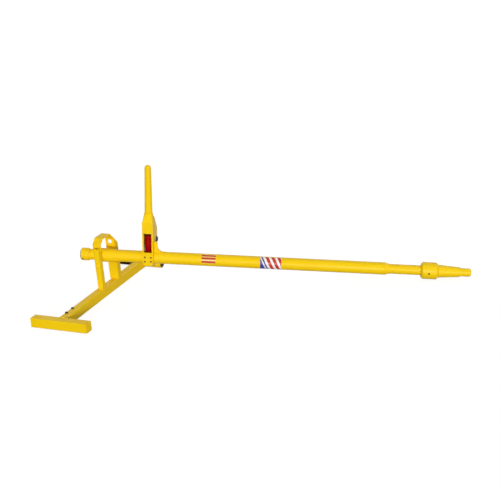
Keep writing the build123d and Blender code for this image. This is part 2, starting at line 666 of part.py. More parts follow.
def side_bolt():
    """Black bolt across the handle behind the latch."""
    y, z = SIDE_BOLT_POINT
    right = HANDLE_STATION + HANDLE_WIDTH / 2
    left = HANDLE_STATION - HANDLE_WIDTH / 2
    head_d, head_h = SIDE_BOLT_HEAD
    head = rod_x(right, right + head_h, head_d, y, z)
    head = fillet(head.edges().filter_by(GeomType.CIRCLE).sort_by(Axis.X)[-1], head_h * RIM_ROUND)
    return head + rod_x(left - head_h, right, SIDE_BOLT_D, y, z)


def side_bolt_nut():
    """Thin round nut on the side bolt."""
    y, z = SIDE_BOLT_POINT
    left = HANDLE_STATION - HANDLE_WIDTH / 2
    x = (left - SIDE_BOLT_HEAD[1], left)
    return rod_x(*x, SIDE_NUT_D, y, z) - rod_x(*x, SIDE_BOLT_D + 2 * RUNNING, y, z)


def gusset():
    """Web with a hollow edge between the right cheek and the top of the bar."""
    x = HANDLE_STATION + HANDLE_WIDTH / 2
    z = BAR_OD / 2
    toe_x, toe_z = GUSSET_TOE
    far = x + toe_x + GUSSET_HOLLOW_R
    high = z + toe_z + GUSSET_HOLLOW_R
    half = GUSSET_THICKNESS / 2
    web = block((x, far), (-half, half), (z, high))
    web -= rod_y(-half, half, 2 * GUSSET_HOLLOW_R, far, high)
    web += block((x, x + toe_x), (-half, half), (high, high + GUSSET_RISE))
    tip = web.edges().filter_by(Axis.Y).sort_by(Axis.Z)[-2:].sort_by(Axis.X)[-1]
    return chamfer(tip, GUSSET_BEVEL)


# ------------------------------------------------------------------- latch
def latch():
    """Red latch that slides up and down behind the window."""
    z = (LATCH_BOTTOM, LATCH_BOTTOM + LATCH_HEIGHT)
    body = rod_z(*z, LATCH_D)
    body = fillet(body.edges().filter_by(GeomType.CIRCLE), LATCH_ROUND)
    nose = rod_z(LATCH_NOSE_LOW, z[0] + 1, LATCH_NOSE_D)
    nose = chamfer(nose.edges().filter_by(GeomType.CIRCLE).sort_by(Axis.Z)[0], LATCH_NOSE_BEVEL)
    stem = rod_z(z[1] - 1, SHELF_Z + LATCH_HEAD[1], LATCH_STEM_D)
    return Pos(HANDLE_STATION, LATCH_Y, 0) * (body + nose + stem)


def latch_head():
    """Black button that stops the latch stem above the shelf."""
    d, height = LATCH_HEAD
    head = rod_z(SHELF_Z, SHELF_Z + height, d) - rod_z(SHELF_Z, SHELF_Z + height, LATCH_STEM_D)
    return Pos(HANDLE_STATION, LATCH_Y, 0) * head


def latch_spring():
    """Space of the spring between the latch and the shelf."""
    low = LATCH_BOTTOM + LATCH_HEIGHT
    high = SHELF_Z - PLATE
    inner = LATCH_STEM_D + 2 * CURVED
    spring = rod_z(low, high, inner + 2 * SPRING_WALL) - rod_z(low, high, inner)
    return Pos(HANDLE_STATION, LATCH_Y, 0) * spring


# ------------------------------------------------------------------ spigot
def inner_tube():
    """Tube that slides out of the main tube."""
    x = (BAR_END - INNER_INSIDE, LOCK_LEFT)
    return rod_x(*x, INNER_OD) - rod_x(*x, INNER_OD - 2 * INNER_WALL)


def guide_bush():
    """Ring on the inner tube's hidden end that runs in the main tube."""
    left = BAR_END - INNER_INSIDE
    x = (left, left + GUIDE_LENGTH)
    return rod_x(*x, BAR_BORE - 2 * RUNNING) - rod_x(*x, INNER_OD)


def spigot_cone():
    """Cone behind the spigot, with the shank that the lock collar turns on."""
    big, small = CONE_D
    bore = INNER_OD - 2 * INNER_WALL - 2 * SLIP
    points = [
        (LOCK_LEFT - TANG_INSERT, 0),
        (LOCK_LEFT - TANG_INSERT, bore / 2),
        (LOCK_LEFT, bore / 2),
        (LOCK_LEFT, TANG_D / 2),
        (LOCK_RIGHT, TANG_D / 2),
        (LOCK_RIGHT, big / 2 - CONE_BEVEL),
        (LOCK_RIGHT + CONE_BEVEL, big / 2),
        (CONE_RIGHT, small / 2),
        (CONE_RIGHT, 0),
    ]
    return turned(points)


def spigot():
    """Round-nosed spigot that enters the aircraft's fitting."""
    rod = rod_x(CONE_RIGHT, CONE_RIGHT + SPIGOT_LENGTH, SPIGOT_D)
    return fillet(rod.edges().filter_by(GeomType.CIRCLE).sort_by(Axis.X)[-1], SPIGOT_ROUND)


def lock_collar():
    """Collar that turns on the spigot's shank."""
    x = (LOCK_LEFT + SIDE, LOCK_RIGHT - SIDE)
    collar = rod_x(*x, LOCK_COLLAR_OD)
    collar = chamfer(collar.edges().filter_by(GeomType.CIRCLE), LOCK_COLLAR_BEVEL)
    screw = rod_y(-LOCK_COLLAR_OD, 0, COLLAR_SCREW[0], LOCK_SCREW_X, 0)
    return collar - rod_x(*x, TANG_D + 2 * RUNNING) - screw


def lock_collar_screw():
    """Set screw that keeps the collar on its shank."""
    screw_d, recess = COLLAR_SCREW
    y = (-LOCK_COLLAR_OD / 2 + recess, -TANG_D / 2 - CURVED)
    screw = rod_y(*y, screw_d - 2 * RUNNING, LOCK_SCREW_X, 0)
    return screw - rod_y(y[0], y[0] + SOCKET_DEPTH, screw_d / 2, LOCK_SCREW_X, 0)


def build():
    """Write every sub-part."""
    os.makedirs("parts", exist_ok=True)
    sides = (-1, 1)
    write("foot_tube", STAND, foot_tube())
    write("foot_end_caps", STAND, *[foot_cap(side) for side in sides])
    write("stem_tube", STAND, stem_tube())
    write("stem_bolts", STAND, *[stem_bolt(place) for place in stem_bolt_places()])
    write("rear_foot_tube", STAND, rear_foot_tube())
    write("rear_foot_plugs", STAND, *[rear_foot_plug(side) for side in sides])
    write("near_leg", STAND, near_leg())
    write("leg_bolt", STAND, leg_bolt())
    write("far_leg", STAND, far_leg())
    write("hoop", STAND, hoop())
    write("trunnion_bushes", STAND, trunnion_bush(True), trunnion_bush(False))
    write("yoke", YOKE, yoke())
    write("trunnion_washer", YOKE, trunnion_washer())
    write("trunnion_nut", YOKE, trunnion_nut())
    write("swivel_pin", YOKE, swivel_pin())
    write("swivel_pin_ring", YOKE, swivel_pin_ring())
    write("bearing_sleeve", BAR, bearing_sleeve())
    write("sleeve_bushes", BAR, *[sleeve_bush(side) for side in sides])
    write("stub_shaft", BAR, stub_shaft())
    write("end_collar", BAR, end_collar())
    write("end_collar_screw", BAR, end_collar_screw())
    write("end_plug", BAR, end_plug())
    write("main_tube", BAR, main_tube())
    write("nose_ring", BAR, nose_ring())
    write("cheek_left", BAR, cheek(-1))
    write("cheek_right", BAR, cheek(1))
    write("front_plate", BAR, front_plate())
    write("rear_plate", BAR, rear_plate())
    write("clamp_plate", BAR, clamp_plate())
    write("clamp_screws", BAR, *[clamp_screw(x, z) for x, z in clamp_screw_places()])
    write("latch_shelf", BAR, latch_shelf())
    write("neck", BAR, neck())
    write("grip", BAR, grip())
    write("grip_stud", BAR, grip_stud())
    write("side_bolt", BAR, side_bolt())
    write("side_bolt_nut", BAR, side_bolt_nut())
    write("gusset", BAR, gusset())
    write("latch", BAR, latch())
    write("latch_head", BAR, latch_head())
    write("latch_spring", BAR, latch_spring())
    write("inner_tube", BAR, inner_tube())
    write("guide_bush", BAR, guide_bush())
    write("spigot_cone", BAR, spigot_cone())
    write("spigot", BAR, spigot())
    write("lock_collar", BAR, lock_collar())
    write("lock_collar_screw", BAR, lock_collar_screw())


build()
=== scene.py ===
"""Looks of the aircraft tow bar: enamel, welds, fasteners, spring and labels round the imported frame.

Everything is in metres in the shared frame. Places come from the CAD nodes and joints:
STAND is square to the floor stand, and BAR runs along the bar towards its spigot.
"""
import json
import math

import bmesh
import bpy
import numpy as np
from mathutils import Matrix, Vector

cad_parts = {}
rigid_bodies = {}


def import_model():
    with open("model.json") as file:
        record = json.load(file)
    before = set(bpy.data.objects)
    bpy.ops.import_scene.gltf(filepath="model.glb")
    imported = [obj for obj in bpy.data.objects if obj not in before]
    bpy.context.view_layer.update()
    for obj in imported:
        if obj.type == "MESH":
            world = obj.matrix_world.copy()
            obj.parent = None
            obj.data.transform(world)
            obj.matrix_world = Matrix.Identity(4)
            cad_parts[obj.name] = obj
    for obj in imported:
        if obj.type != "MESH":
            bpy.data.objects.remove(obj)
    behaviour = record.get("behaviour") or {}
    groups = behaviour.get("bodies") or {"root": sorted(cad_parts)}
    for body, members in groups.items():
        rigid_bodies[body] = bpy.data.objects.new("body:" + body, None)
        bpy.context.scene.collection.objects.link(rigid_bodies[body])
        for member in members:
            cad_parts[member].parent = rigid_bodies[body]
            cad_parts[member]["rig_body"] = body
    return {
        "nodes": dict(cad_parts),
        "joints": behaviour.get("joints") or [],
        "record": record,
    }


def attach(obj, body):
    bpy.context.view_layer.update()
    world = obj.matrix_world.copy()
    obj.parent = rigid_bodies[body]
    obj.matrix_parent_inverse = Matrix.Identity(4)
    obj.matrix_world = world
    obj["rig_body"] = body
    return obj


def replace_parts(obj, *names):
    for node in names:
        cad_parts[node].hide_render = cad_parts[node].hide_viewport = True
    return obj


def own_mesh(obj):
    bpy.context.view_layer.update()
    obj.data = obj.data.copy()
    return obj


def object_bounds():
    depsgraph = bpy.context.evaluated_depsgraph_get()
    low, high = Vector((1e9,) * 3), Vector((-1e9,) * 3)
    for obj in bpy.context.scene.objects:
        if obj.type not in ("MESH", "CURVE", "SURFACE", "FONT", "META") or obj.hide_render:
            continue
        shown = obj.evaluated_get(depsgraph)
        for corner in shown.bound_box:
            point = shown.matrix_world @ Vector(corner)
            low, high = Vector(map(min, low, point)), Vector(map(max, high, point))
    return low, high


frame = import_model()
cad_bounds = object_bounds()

MM = 0.001

# ------------------------------------------------------------------ sizes
WELD_LEG = 3.2 * MM             # radius of the fillet welds on the stand
WELD_FINE = 2.0 * MM            # radius of the fine welds on thin seams
WELD_PITCH = 2.6 * MM           # distance between the ripples of a weld
WELD_RIPPLE = 0.10              # depth of a ripple, as a share of the weld's radius
SEAM_WELD = 0.9 * MM            # radius of the dressed weld at the nose ring, and how deep it lies
SEAM_SUNK = 0.5 * MM
COPE_TURNS = (0.15, 2.4)        # weld round the rear foot, in radians from the foot's top
EASE = 0.7 * MM                 # rounding of sawn and cut plate edges
EASE_FINE = 0.5 * MM            # and of thin plates
EASE_ANGLE = 35                 # edges sharper than this many degrees are rounded
MERGE = 0.001 * MM              # points closer than this are one
TUBE_CORNER = 2.4 * MM          # rounded corners of the stand's square tubes
LABEL_LIFT = 0.25 * MM          # thickness of a printed label
LABEL_GAP = 0.04 * MM           # air under it
RED_LABEL = (380 * MM, 436 * MM)        # stations along the bar
STRIPED_LABEL = (612 * MM, 695 * MM)
RED_TURNS = (math.radians(8), math.radians(100))        # angles from straight up towards the front
SLANT_TURNS = (math.radians(2), math.radians(148))
STEM_BOLT = (4.5 * MM, 5 * MM, 6 * MM)          # height of the head, width of its socket, shank
CLAMP_SCREW = (2.4 * MM, 3 * MM, 5 * MM)
SIDE_BOLT = (6.5 * MM, 10 * MM, 10 * MM)
CLAMP_HEAD = 6.5 * MM           # diameter of a clamp screw's head
SET_ROUND = 0.3 * MM            # rounded rim of a set screw
LEG_HEAD = 5 * MM               # leg bolt: height of its head, straight rim under the dome, shank's radius
LEG_RIM = 0.8 * MM
LEG_SHANK = 3 * MM
SHANK_TIP = (0.5 * MM, 0.4 * MM)        # bevel at the shank's tip: length, depth
TRUNNION_NUT = (21 * MM, 14.2 * MM)     # across its flats, bore
SIDE_NUT = (1.78, 10 * MM)      # across its flats as a share of its radius, bore
PLUG_DEPTH = 14 * MM
PLUG_RIM = 3 * MM
FOOT_PLUG_STEP = 0.4 * MM       # from a plug's rim in to its body
END_PLUG_STEP = 3.1 * MM
GRIP_TOP = 25 * MM              # diameter of the grip under its rounded top
GRIP_ROUND = 11 * MM
GRIP_EASE = 0.6 * MM
GRIP_GROOVE = (3.4 * MM, 5.4 * MM, 0.8 * MM)    # its ends above the foot, and its depth
GRIP_STEP = 0.1 * MM            # the grip is this much slimmer above the groove
LATCH_BODY = (18 * MM, 86 * MM)         # body of the latch above the tip of its nose
LATCH_EASE = 1.6 * MM
LATCH_NOSE = (6 * MM, 1.5 * MM)         # radius, bevel
LATCH_STEM = (4 * MM, 0.6 * MM)
FINGER_GROOVE = (16 * MM, 3 * MM, 0.8 * MM)     # below the body's top, half its width, depth
LUG = (2.6 * MM, 6 * MM, 9 * MM)        # black lug on the latch's top that paints shade: half its width, half its depth, height
LUG_OUT = 9.6 * MM              # from the latch's middle
LUG_SUNK = 0.2 * MM
LUG_EASE = 0.8 * MM
SPRING_WIRE = 1 * MM            # radius of the wire
SPRING_TURNS = 6
HOOP_SEAM = 6.6 * MM            # height of the hoop's cut end on the far leg
SHADE_STRIP_TURNS = (math.radians(-32), math.radians(84))     # black strip that paints the shade on the rear foot under the bar, from the front up round the foot
SHADE_STRIP = (1.2 * MM, 3 * MM)      # its thickness, and its distance from the foot's end
SHADE_STRIP_GAP = 0.05 * MM

# ----------------------------------------------------- camera and lights
CAMERA_PLACE = (1.0306, -4.1323, 1.7191)
CAMERA_TURNS = (-6.172, 20.625, 4.679)          # heading, dip and roll, in degrees
LENS = 81.285                   # focal length and width of the film, in mm
FILM = 36
AMBIENT = 0.42                  # strength of the even light from all round
FLOOR_SIZE = 28.0
FLOOR_DROP = 0.2 * MM           # gap under the feet
FLOOR_TONE = 0.16               # colour that catches shadows, and light added to it for the camera
FLOOR_GLOW = 0.9
LAMP_HEIGHT = 2.0
LAMPS = (                       # name, direction, energy, width in degrees, acts on matt, on gloss
    ("key", (0.14, -1.0, 0.17), 2.05, 16, True, True),
    ("shine", (0.14, -1.0, 0.17), 2.0, 16, False, True),
    ("side", (1.0, -0.45, 0.2), 0.35, 40, True, False),
    ("rear", (-0.35, 1.0, 0.25), 1.0, 50, True, False),
    ("glint", (0.61, 0.52, 0.58), 6.0, 10, False, True),
)

# ----------------------------------------------------------- frame's axes
joints = {joint["name"]: joint for joint in frame["joints"]}
nodes = frame["nodes"]


def unit(vector):
    """Vector of length 1 in the same direction."""
    vector = np.asarray(vector, float)
    return vector / np.linalg.norm(vector)


def axes(origin, x, y):
    """4 by 4 matrix of a place whose axes are x, y and their cross product."""
    base = np.eye(4)
    base[:3, 0], base[:3, 1] = unit(x), unit(y)
    base[:3, 2] = np.cross(base[:3, 0], base[:3, 1])
    base[:3, 3] = origin
    return base


def shifted(base, x=0.0, y=0.0, z=0.0):
    """The same axes with the origin moved along them."""
    moved = base.copy()
    moved[:3, 3] += base[:3, :3] @ (x, y, z)
    return moved


def turned_axes(base, x, y):
    """New axes at the base's origin; x and y are directions in the base's own axes."""
    rotation = base[:3, :3]
    return axes(base[:3, 3], rotation @ np.asarray(x, float), rotation @ np.asarray(y, float))


def placed(base, points):
    """Points in a base's axes, as points of the shared frame."""
    return np.asarray(points).reshape(-1, 3) @ base[:3, :3].T + base[:3, 3]


def reach(node, base):
    """Lowest and highest corner of a CAD node, measured along the base's axes."""
    mesh = nodes[node].data
    points = np.empty(len(mesh.vertices) * 3, np.float32)
    mesh.vertices.foreach_get("co", points)
    local = (points.reshape(-1, 3) - base[:3, 3]) @ base[:3, :3]
    return local.min(0), local.max(0)


stand_back = -unit(joints["stand_tilt"]["axis"])
STAND = axes((0, 0, 0), np.cross(stand_back, (0, 0, 1)), stand_back)
bar_along = unit(joints["bar_roll"]["axis"])
bar_up = unit(joints["stand_swivel"]["axis"])
BAR = axes(joints["bar_roll"]["pos_m"], bar_along, np.cross(bar_up, bar_along))


# ------------------------------------------------------------ mesh makers
def grid_faces(rows, columns, closed_rows=False):
    """Quads of a grid of points; each row joins its last point to its first, and closed rows do too."""
    r = np.arange(rows if closed_rows else rows - 1)[:, None]
    c = np.arange(columns)[None, :]
    r1, c1 = (r + 1) % rows, (c + 1) % columns
    corners = [r * columns + c, r * columns + c1, r1 * columns + c1, r1 * columns + c]
    return np.stack([np.broadcast_to(k, np.broadcast(r, c).shape) for k in corners], -1).reshape(-1, 4)


def make_piece(name, shapes, body, material, sharp=40):
    """Piece from closed (points, faces) shapes, with merged seams and outward normals."""
    starts = np.cumsum([0] + [len(points) for points, _ in shapes[:-1]])
    faces = np.concatenate([part + start for (_, part), start in zip(shapes, starts)])
    mesh = bpy.data.meshes.new(name)
    mesh.from_pydata(np.concatenate([points for points, _ in shapes]).tolist(), [], faces.tolist())
    shape = bmesh.new()
    shape.from_mesh(mesh)
    bmesh.ops.remove_doubles(shape, verts=shape.verts, dist=MERGE)
    bmesh.ops.dissolve_degenerate(shape, edges=shape.edges, dist=0.1 * MERGE)
    bmesh.ops.recalc_face_normals(shape, faces=shape.faces)
    shape.to_mesh(mesh)
    shape.free()
    return finish_piece(bpy.data.objects.new(name, mesh), body, material, sharp)


def finish_piece(piece, body, material, sharp):
    """Shade, link and register a piece; faces are smooth between edges sharper than the angle."""
    bpy.context.scene.collection.objects.link(piece)
    piece.data.shade_smooth()
    piece.data.set_sharp_from_angle(angle=math.radians(sharp))
    piece.data.materials.clear()
    piece.data.materials.append(material)
    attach(piece, body)
    return piece


def rounded(corners, radius, steps=5):
    """Closed outline whose corners are arcs.

    Each arc touches both sides of its corner. Its centre lies on the corner's bisector at
    radius / sin(half angle), and its points turn evenly from one touching point to the other.
    """
    corner = np.asarray(corners, float)
    radius = np.broadcast_to(np.asarray(radius, float), len(corner))[:, None]
    back = np.roll(corner, 1, 0) - corner
    ahead = np.roll(corner, -1, 0) - corner
    back /= np.linalg.norm(back, axis=1, keepdims=True)
    ahead /= np.linalg.norm(ahead, axis=1, keepdims=True)
    half = np.arccos(np.clip((back * ahead).sum(1, keepdims=True), -1, 1)) / 2
    bisector = (back + ahead) / np.linalg.norm(back + ahead, axis=1, keepdims=True)
    centre = corner + bisector * radius / np.sin(half)
    start = corner + back * radius / np.tan(half) - centre
    end = corner + ahead * radius / np.tan(half) - centre
    sweep = (math.pi - 2 * half)[:, None]
    share = np.linspace(0, 1, steps)[None, :, None]
    arcs = np.sin((1 - share) * sweep) * start[:, None] + np.sin(share * sweep) * end[:, None]
    return (centre[:, None] + arcs / np.sin(sweep)).reshape(-1, 2)


def evenly(path, count, closed=True):
    """The same path with its points at even distances."""
    path = np.asarray(path, float)
    line = np.concatenate([path, path[:1]]) if closed else path
    distance = np.concatenate([[0], np.cumsum(np.linalg.norm(np.diff(line, axis=0), axis=1))])
    stops = np.linspace(0, distance[-1], count, endpoint=not closed)
    return np.stack([np.interp(stops, distance, line[:, k]) for k in range(line.shape[1])], 1)


def lathe(outline, base, steps=64):
    """Solid of revolution about the base's x axis: (x, radius) points carried round the circle."""
    outline = np.asarray(outline, float)
    angle = np.linspace(0, 2 * math.pi, steps, endpoint=False)[None, :]
    x = np.broadcast_to(outline[:, :1], (len(outline), steps))
    points = np.stack([x, outline[:, 1:] * np.cos(angle), outline[:, 1:] * np.sin(angle)], -1)
    return placed(base, points), grid_faces(len(outline), steps)


def hex_radius(angle, flats):
    """Distance from a hexagon's middle to its rim: half the flats over the cosine from the nearest flat."""
    sector = math.pi / 3
    return flats / 2 / np.cos((angle + sector / 2) % sector - sector / 2)


def socket_screw(base, diameter, height, socket, round_over, steps=72):
    """Screw head with a domed rim and a hexagonal socket, on the base's x axis.

    The rings go up the head's side, over its round rim, in to the socket's hexagon and down
    to its floor; the socket's rings have the hexagon's radius instead of one value.
    """
    angle = np.linspace(0, 2 * math.pi, steps, endpoint=False)
    arc = np.linspace(0, math.pi / 2, 7)
    side = diameter / 2
    rings = [(0.0, 0 * angle), (0.0, side + 0 * angle)]
    rings += [
        (height - round_over + round_over * math.sin(a), side - round_over * (1 - math.cos(a)) + 0 * angle)
        for a in arc
    ]
    rim = hex_radius(angle, socket)
    rings += [(height, rim * 1.08), (height - 0.05 * socket, rim)]
    rings += [(height * 0.45, rim), (height * 0.35, 0 * angle)]
    x = np.stack([np.full(steps, level) for level, _ in rings])
    radius = np.stack([ring for _, ring in rings])
    points = np.stack([x, radius * np.cos(angle), radius * np.sin(angle)], -1)
    return placed(base, points), grid_faces(len(rings), steps)


def hex_nut(base, flats, height, bore, steps=96):
    """Hexagon nut on the base's x axis: its rim is the hexagon cut back by a 30 degree cone at each end."""
    angle = np.linspace(0, 2 * math.pi, steps, endpoint=False)
    rim = hex_radius(angle, flats)
    across_corners = flats / math.cos(math.pi / 6)
    levels = np.concatenate([np.linspace(0, 0.14, 5), np.linspace(0.86, 1, 5)]) * height
    inset = np.minimum(levels, height - levels)
    cone = 0.95 * flats / 2 + inset[:, None] * (across_corners - 0.95 * flats) / (0.28 * height)
    radius = np.minimum(rim[None, :], cone)
    bore_rings = np.full((2, steps), bore / 2)
    radius = np.concatenate([bore_rings[:1], radius, bore_rings[1:]])
    levels = np.concatenate([[0], levels, [height]])
    x = np.broadcast_to(levels[:, None], radius.shape)
    points = np.stack([x, radius * np.cos(angle), radius * np.sin(angle)], -1)
    return placed(base, points), grid_faces(len(levels), steps, closed_rows=True)


def bead_stops(path):
    """Length of a path, and how many evenly spaced points a bead has on it."""
    length = np.linalg.norm(np.diff(path, axis=0), axis=1).sum()
    return length, max(12, int(length / WELD_PITCH * 5))


def weld_bead(path, outward, radius, closed=True, steps=14):
    """Weld bead along a path of points in the shared frame.

    The section is a circle round the path. Its radius rises and falls with the distance along
    the path, one wave for each ripple, and the wave lags behind towards the bead's edges, so
    the ripples are crescents. Two slow waves make it a little uneven. At the ends of an open
    bead the radius falls to zero as a dome.
    """
    length, count = bead_stops(path)
    path = evenly(path, count, closed)
    if closed:
        tangent = np.roll(path, -1, 0) - np.roll(path, 1, 0)
    else:
        tangent = np.gradient(path, axis=0)
    tangent /= np.linalg.norm(tangent, axis=1, keepdims=True)
    outward = np.broadcast_to(np.asarray(outward, float), path.shape)
    side = np.cross(tangent, outward)
    side /= np.linalg.norm(side, axis=1, keepdims=True)
    lift = np.cross(side, tangent)
    angle = np.linspace(0, 2 * math.pi, steps, endpoint=False)[None, :]
    distance = np.linspace(0, length, count, endpoint=not closed)[:, None]
    waves = max(1, round(length / WELD_PITCH))
    phase = math.pi * (distance / length * waves + 0.45 * (1 - np.cos(angle)))
    uneven = 1 + 0.05 * np.sin(distance / length * 17.0) + 0.03 * np.sin(distance / length * 41.0 + 1)
    bead = radius * uneven * (1 - WELD_RIPPLE + WELD_RIPPLE * np.abs(np.sin(phase)))
    if not closed:
        from_end = np.minimum(distance, length - distance) / radius
        bead = bead * np.sqrt(np.clip(1 - (1 - np.clip(from_end, 0, 1)) ** 2, 0, 1))
    points = path[:, None] + bead[..., None] * (
        np.cos(angle)[..., None] * lift[:, None] + np.sin(angle)[..., None] * side[:, None]
    )
    return points.reshape(-1, 3), grid_faces(count, steps, closed_rows=closed)


def coil_spring(base, low, high, coil_radius, wire_radius, turns, per_turn=36, steps=12):
    """Compression spring on the base's x axis.

    The wire's middle is a helix whose pitch is small over the first and last turn, so that the
    ends lie flat; the wire's section is a circle square to the helix.
    """
    count = turns * per_turn + 1
    turn = np.linspace(0, turns, count)
    ends = np.clip(turn, 0, 1) + np.clip(turn - (turns - 1), 0, 1)
    rise = turn - 0.55 * ends
    x = low + wire_radius + (high - low - 2 * wire_radius) * rise / rise[-1]
    around = 2 * math.pi * turn
    path = np.stack([x, coil_radius * np.cos(around), coil_radius * np.sin(around)], 1)
    tangent = np.gradient(path, axis=0)
    tangent /= np.linalg.norm(tangent, axis=1, keepdims=True)
    outward = np.stack([0 * around, np.cos(around), np.sin(around)], 1)
    side = np.cross(tangent, outward)
    angle = np.linspace(0, 2 * math.pi, steps, endpoint=False)[None, :, None]
    tip = np.ones(count)
    tip[[0, -1]] = 0
    points = path[:, None] + wire_radius * tip[:, None, None] * (
        np.cos(angle) * outward[:, None] + np.sin(angle) * side[:, None]
    )
    return placed(base, points), grid_faces(count, steps)


def eased(node, material, width):
    """Copy of a CAD node with its plate edges rounded over, shown in the node's place."""
    mesh = nodes[node].data.copy()
    shape = bmesh.new()
    shape.from_mesh(mesh)
    bmesh.ops.remove_doubles(shape, verts=shape.verts, dist=MERGE)
    bmesh.ops.dissolve_limit(
        shape, angle_limit=math.radians(0.5), use_dissolve_boundaries=False,
        verts=shape.verts, edges=shape.edges,
    )
    shape.to_mesh(mesh)
    shape.free()
    if "custom_normal" in mesh.attributes:
        mesh.attributes.remove(mesh.attributes["custom_normal"])
    piece = bpy.data.objects.new(f"{node}_finished", mesh)
    finish_piece(piece, nodes[node]["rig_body"], material, EASE_ANGLE)
    bevel = piece.modifiers.new("edge_rounding", "BEVEL")
    bevel.width = width
    bevel.segments = 3
    bevel.limit_method = "ANGLE"
    bevel.angle_limit = math.radians(EASE_ANGLE)
    bevel.use_clamp_overlap = True
    bevel.harden_normals = True
    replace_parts(piece, node)
    return piece


# -------------------------------------------------------------- materials
def new_group(name, inputs, outputs):
    """Empty shader node group with the named sockets; inputs are (name, default value) pairs."""
    group = bpy.data.node_groups.new(name, "ShaderNodeTree")
    for label, value in inputs:
        socket = group.interface.new_socket(label, in_out="INPUT", socket_type="NodeSocketFloat")
        socket.default_value = value
    for label in outputs:
        group.interface.new_socket(label, in_out="OUTPUT", socket_type="NodeSocketFloat")
    return group, group.nodes.new("NodeGroupInput"), group.nodes.new("NodeGroupOutput")


def link(tree, source, target):
    """Join an output to an input."""
    tree.links.new(source, target)


def math_node(tree, operation, a, b=None, clamp=False):
    """Math node; a and b are sockets or numbers."""
    node = tree.nodes.new("ShaderNodeMath")
    node.operation = operation
    node.use_clamp = clamp
    for socket, value in zip(node.inputs, (a, b)):
        if isinstance(value, bpy.types.NodeSocket):
            link(tree, value, socket)
        elif value is not None:
            socket.default_value = value
    return node.outputs[0]


def smooth_step(tree, value, low, high):
    """Smooth rise from 0 at low to 1 at high."""
    node = tree.nodes.new("ShaderNodeMapRange")
    node.interpolation_type = "SMOOTHSTEP"
    link(tree, value, node.inputs["Value"])
    node.inputs["From Min"].default_value = low
    node.inputs["From Max"].default_value = high
    return node.outputs["Result"]


def noise(tree, scale, detail=3.0, roughness=0.5, stretch=None, distortion=0.0):
    """Noise in object coordinates; scale may be a socket, stretch scales the three axes."""
    place = tree.nodes.new("ShaderNodeTexCoord")
    vector = place.outputs["Object"]
    if stretch:
        mapping = tree.nodes.new("ShaderNodeMapping")
        mapping.inputs["Scale"].default_value = stretch
        link(tree, vector, mapping.inputs["Vector"])
        vector = mapping.outputs["Vector"]
    node = tree.nodes.new("ShaderNodeTexNoise")
    link(tree, vector, node.inputs["Vector"])
    if isinstance(scale, bpy.types.NodeSocket):
        link(tree, scale, node.inputs["Scale"])
    else:
        node.inputs["Scale"].default_value = scale
    node.inputs["Detail"].default_value = detail
    node.inputs["Roughness"].default_value = roughness
    node.inputs["Distortion"].default_value = distortion
    return node.outputs["Fac"]


def edge_wear_group():
    """Mask of rubbed edges: where a rounded normal leaves the true one, broken up by noise."""
    group, entry, leave = new_group("edge_wear", [("Reach", 0.0012), ("Amount", 1.0)], ["Wear", "Edge"])
    bevel = group.nodes.new("ShaderNodeBevel")
    bevel.samples = 4
    link(group, entry.outputs["Reach"], bevel.inputs["Radius"])
    geometry = group.nodes.new("ShaderNodeNewGeometry")
    dot = group.nodes.new("ShaderNodeVectorMath")
    dot.operation = "DOT_PRODUCT"
    link(group, bevel.outputs["Normal"], dot.inputs[0])
    link(group, geometry.outputs["Normal"], dot.inputs[1])
    edge = smooth_step(group, math_node(group, "SUBTRACT", 1.0, dot.outputs["Value"]), 0.01, 0.2)
    broken = smooth_step(group, noise(group, 95.0, 6.0, 0.65), 0.56, 0.68)
    patchy = smooth_step(group, noise(group, 9.0, 2.0), 0.46, 0.62)
    worn = math_node(group, "MULTIPLY", math_node(group, "MULTIPLY", edge, broken), patchy)
    link(group, math_node(group, "MULTIPLY", worn, entry.outputs["Amount"], clamp=True), leave.inputs["Wear"])
    link(group, edge, leave.inputs["Edge"])
    return group


def corner_shade_and_dust_group():
    """Masks of painted shade in inside corners, from ambient occlusion broken up by noise, and of dust lying
    on faces that look up.
    """
    group, entry, leave = new_group("grime", [("Corner Reach", 0.012)], ["Corner", "Dust"])
    shade = group.nodes.new("ShaderNodeAmbientOcclusion")
    shade.samples = 4
    shade.only_local = False
    link(group, entry.outputs["Corner Reach"], shade.inputs["Distance"])
    # darkening from occlusion in the corners: painted shade
    hidden = math_node(group, "SUBTRACT", 1.0, shade.outputs["AO"])
    uneven = smooth_step(group, noise(group, 30.0, 4.0), 0.3, 0.7)
    corner_shade = math_node(group, "MULTIPLY", hidden, math_node(group, "ADD", uneven, 0.5))
    link(group, smooth_step(group, corner_shade, 0.35, 1.1), leave.inputs["Corner"])
    geometry = group.nodes.new("ShaderNodeNewGeometry")
    split = group.nodes.new("ShaderNodeSeparateXYZ")
    link(group, geometry.outputs["Normal"], split.inputs["Vector"])
    facing = smooth_step(group, split.outputs["Z"], 0.3, 1.0)
    specks = smooth_step(group, noise(group, 260.0, 5.0, 0.7), 0.5, 0.72)
    drift = smooth_step(group, noise(group, 7.0, 3.0), 0.4, 0.7)
    dust = math_node(group, "MULTIPLY", facing, math_node(group, "MAXIMUM", specks, drift))
    link(group, dust, leave.inputs["Dust"])
    return group


def paint_skin_group():
    """Height of sprayed enamel: long soft waves with fine orange peel, and a slow drift of tone."""
    group, entry, leave = new_group("paint_skin", [("Peel", 1.0)], ["Height", "Drift"])
    peel = math_node(group, "MULTIPLY", noise(group, 420.0, 2.0, 0.4), entry.outputs["Peel"])
    waves = math_node(group, "MULTIPLY", noise(group, 60.0, 2.0), 0.6)
    link(group, math_node(group, "ADD", peel, waves), leave.inputs["Height"])
    link(group, smooth_step(group, noise(group, 5.0, 3.0, 0.55), 0.3, 0.7), leave.inputs["Drift"])
    return group


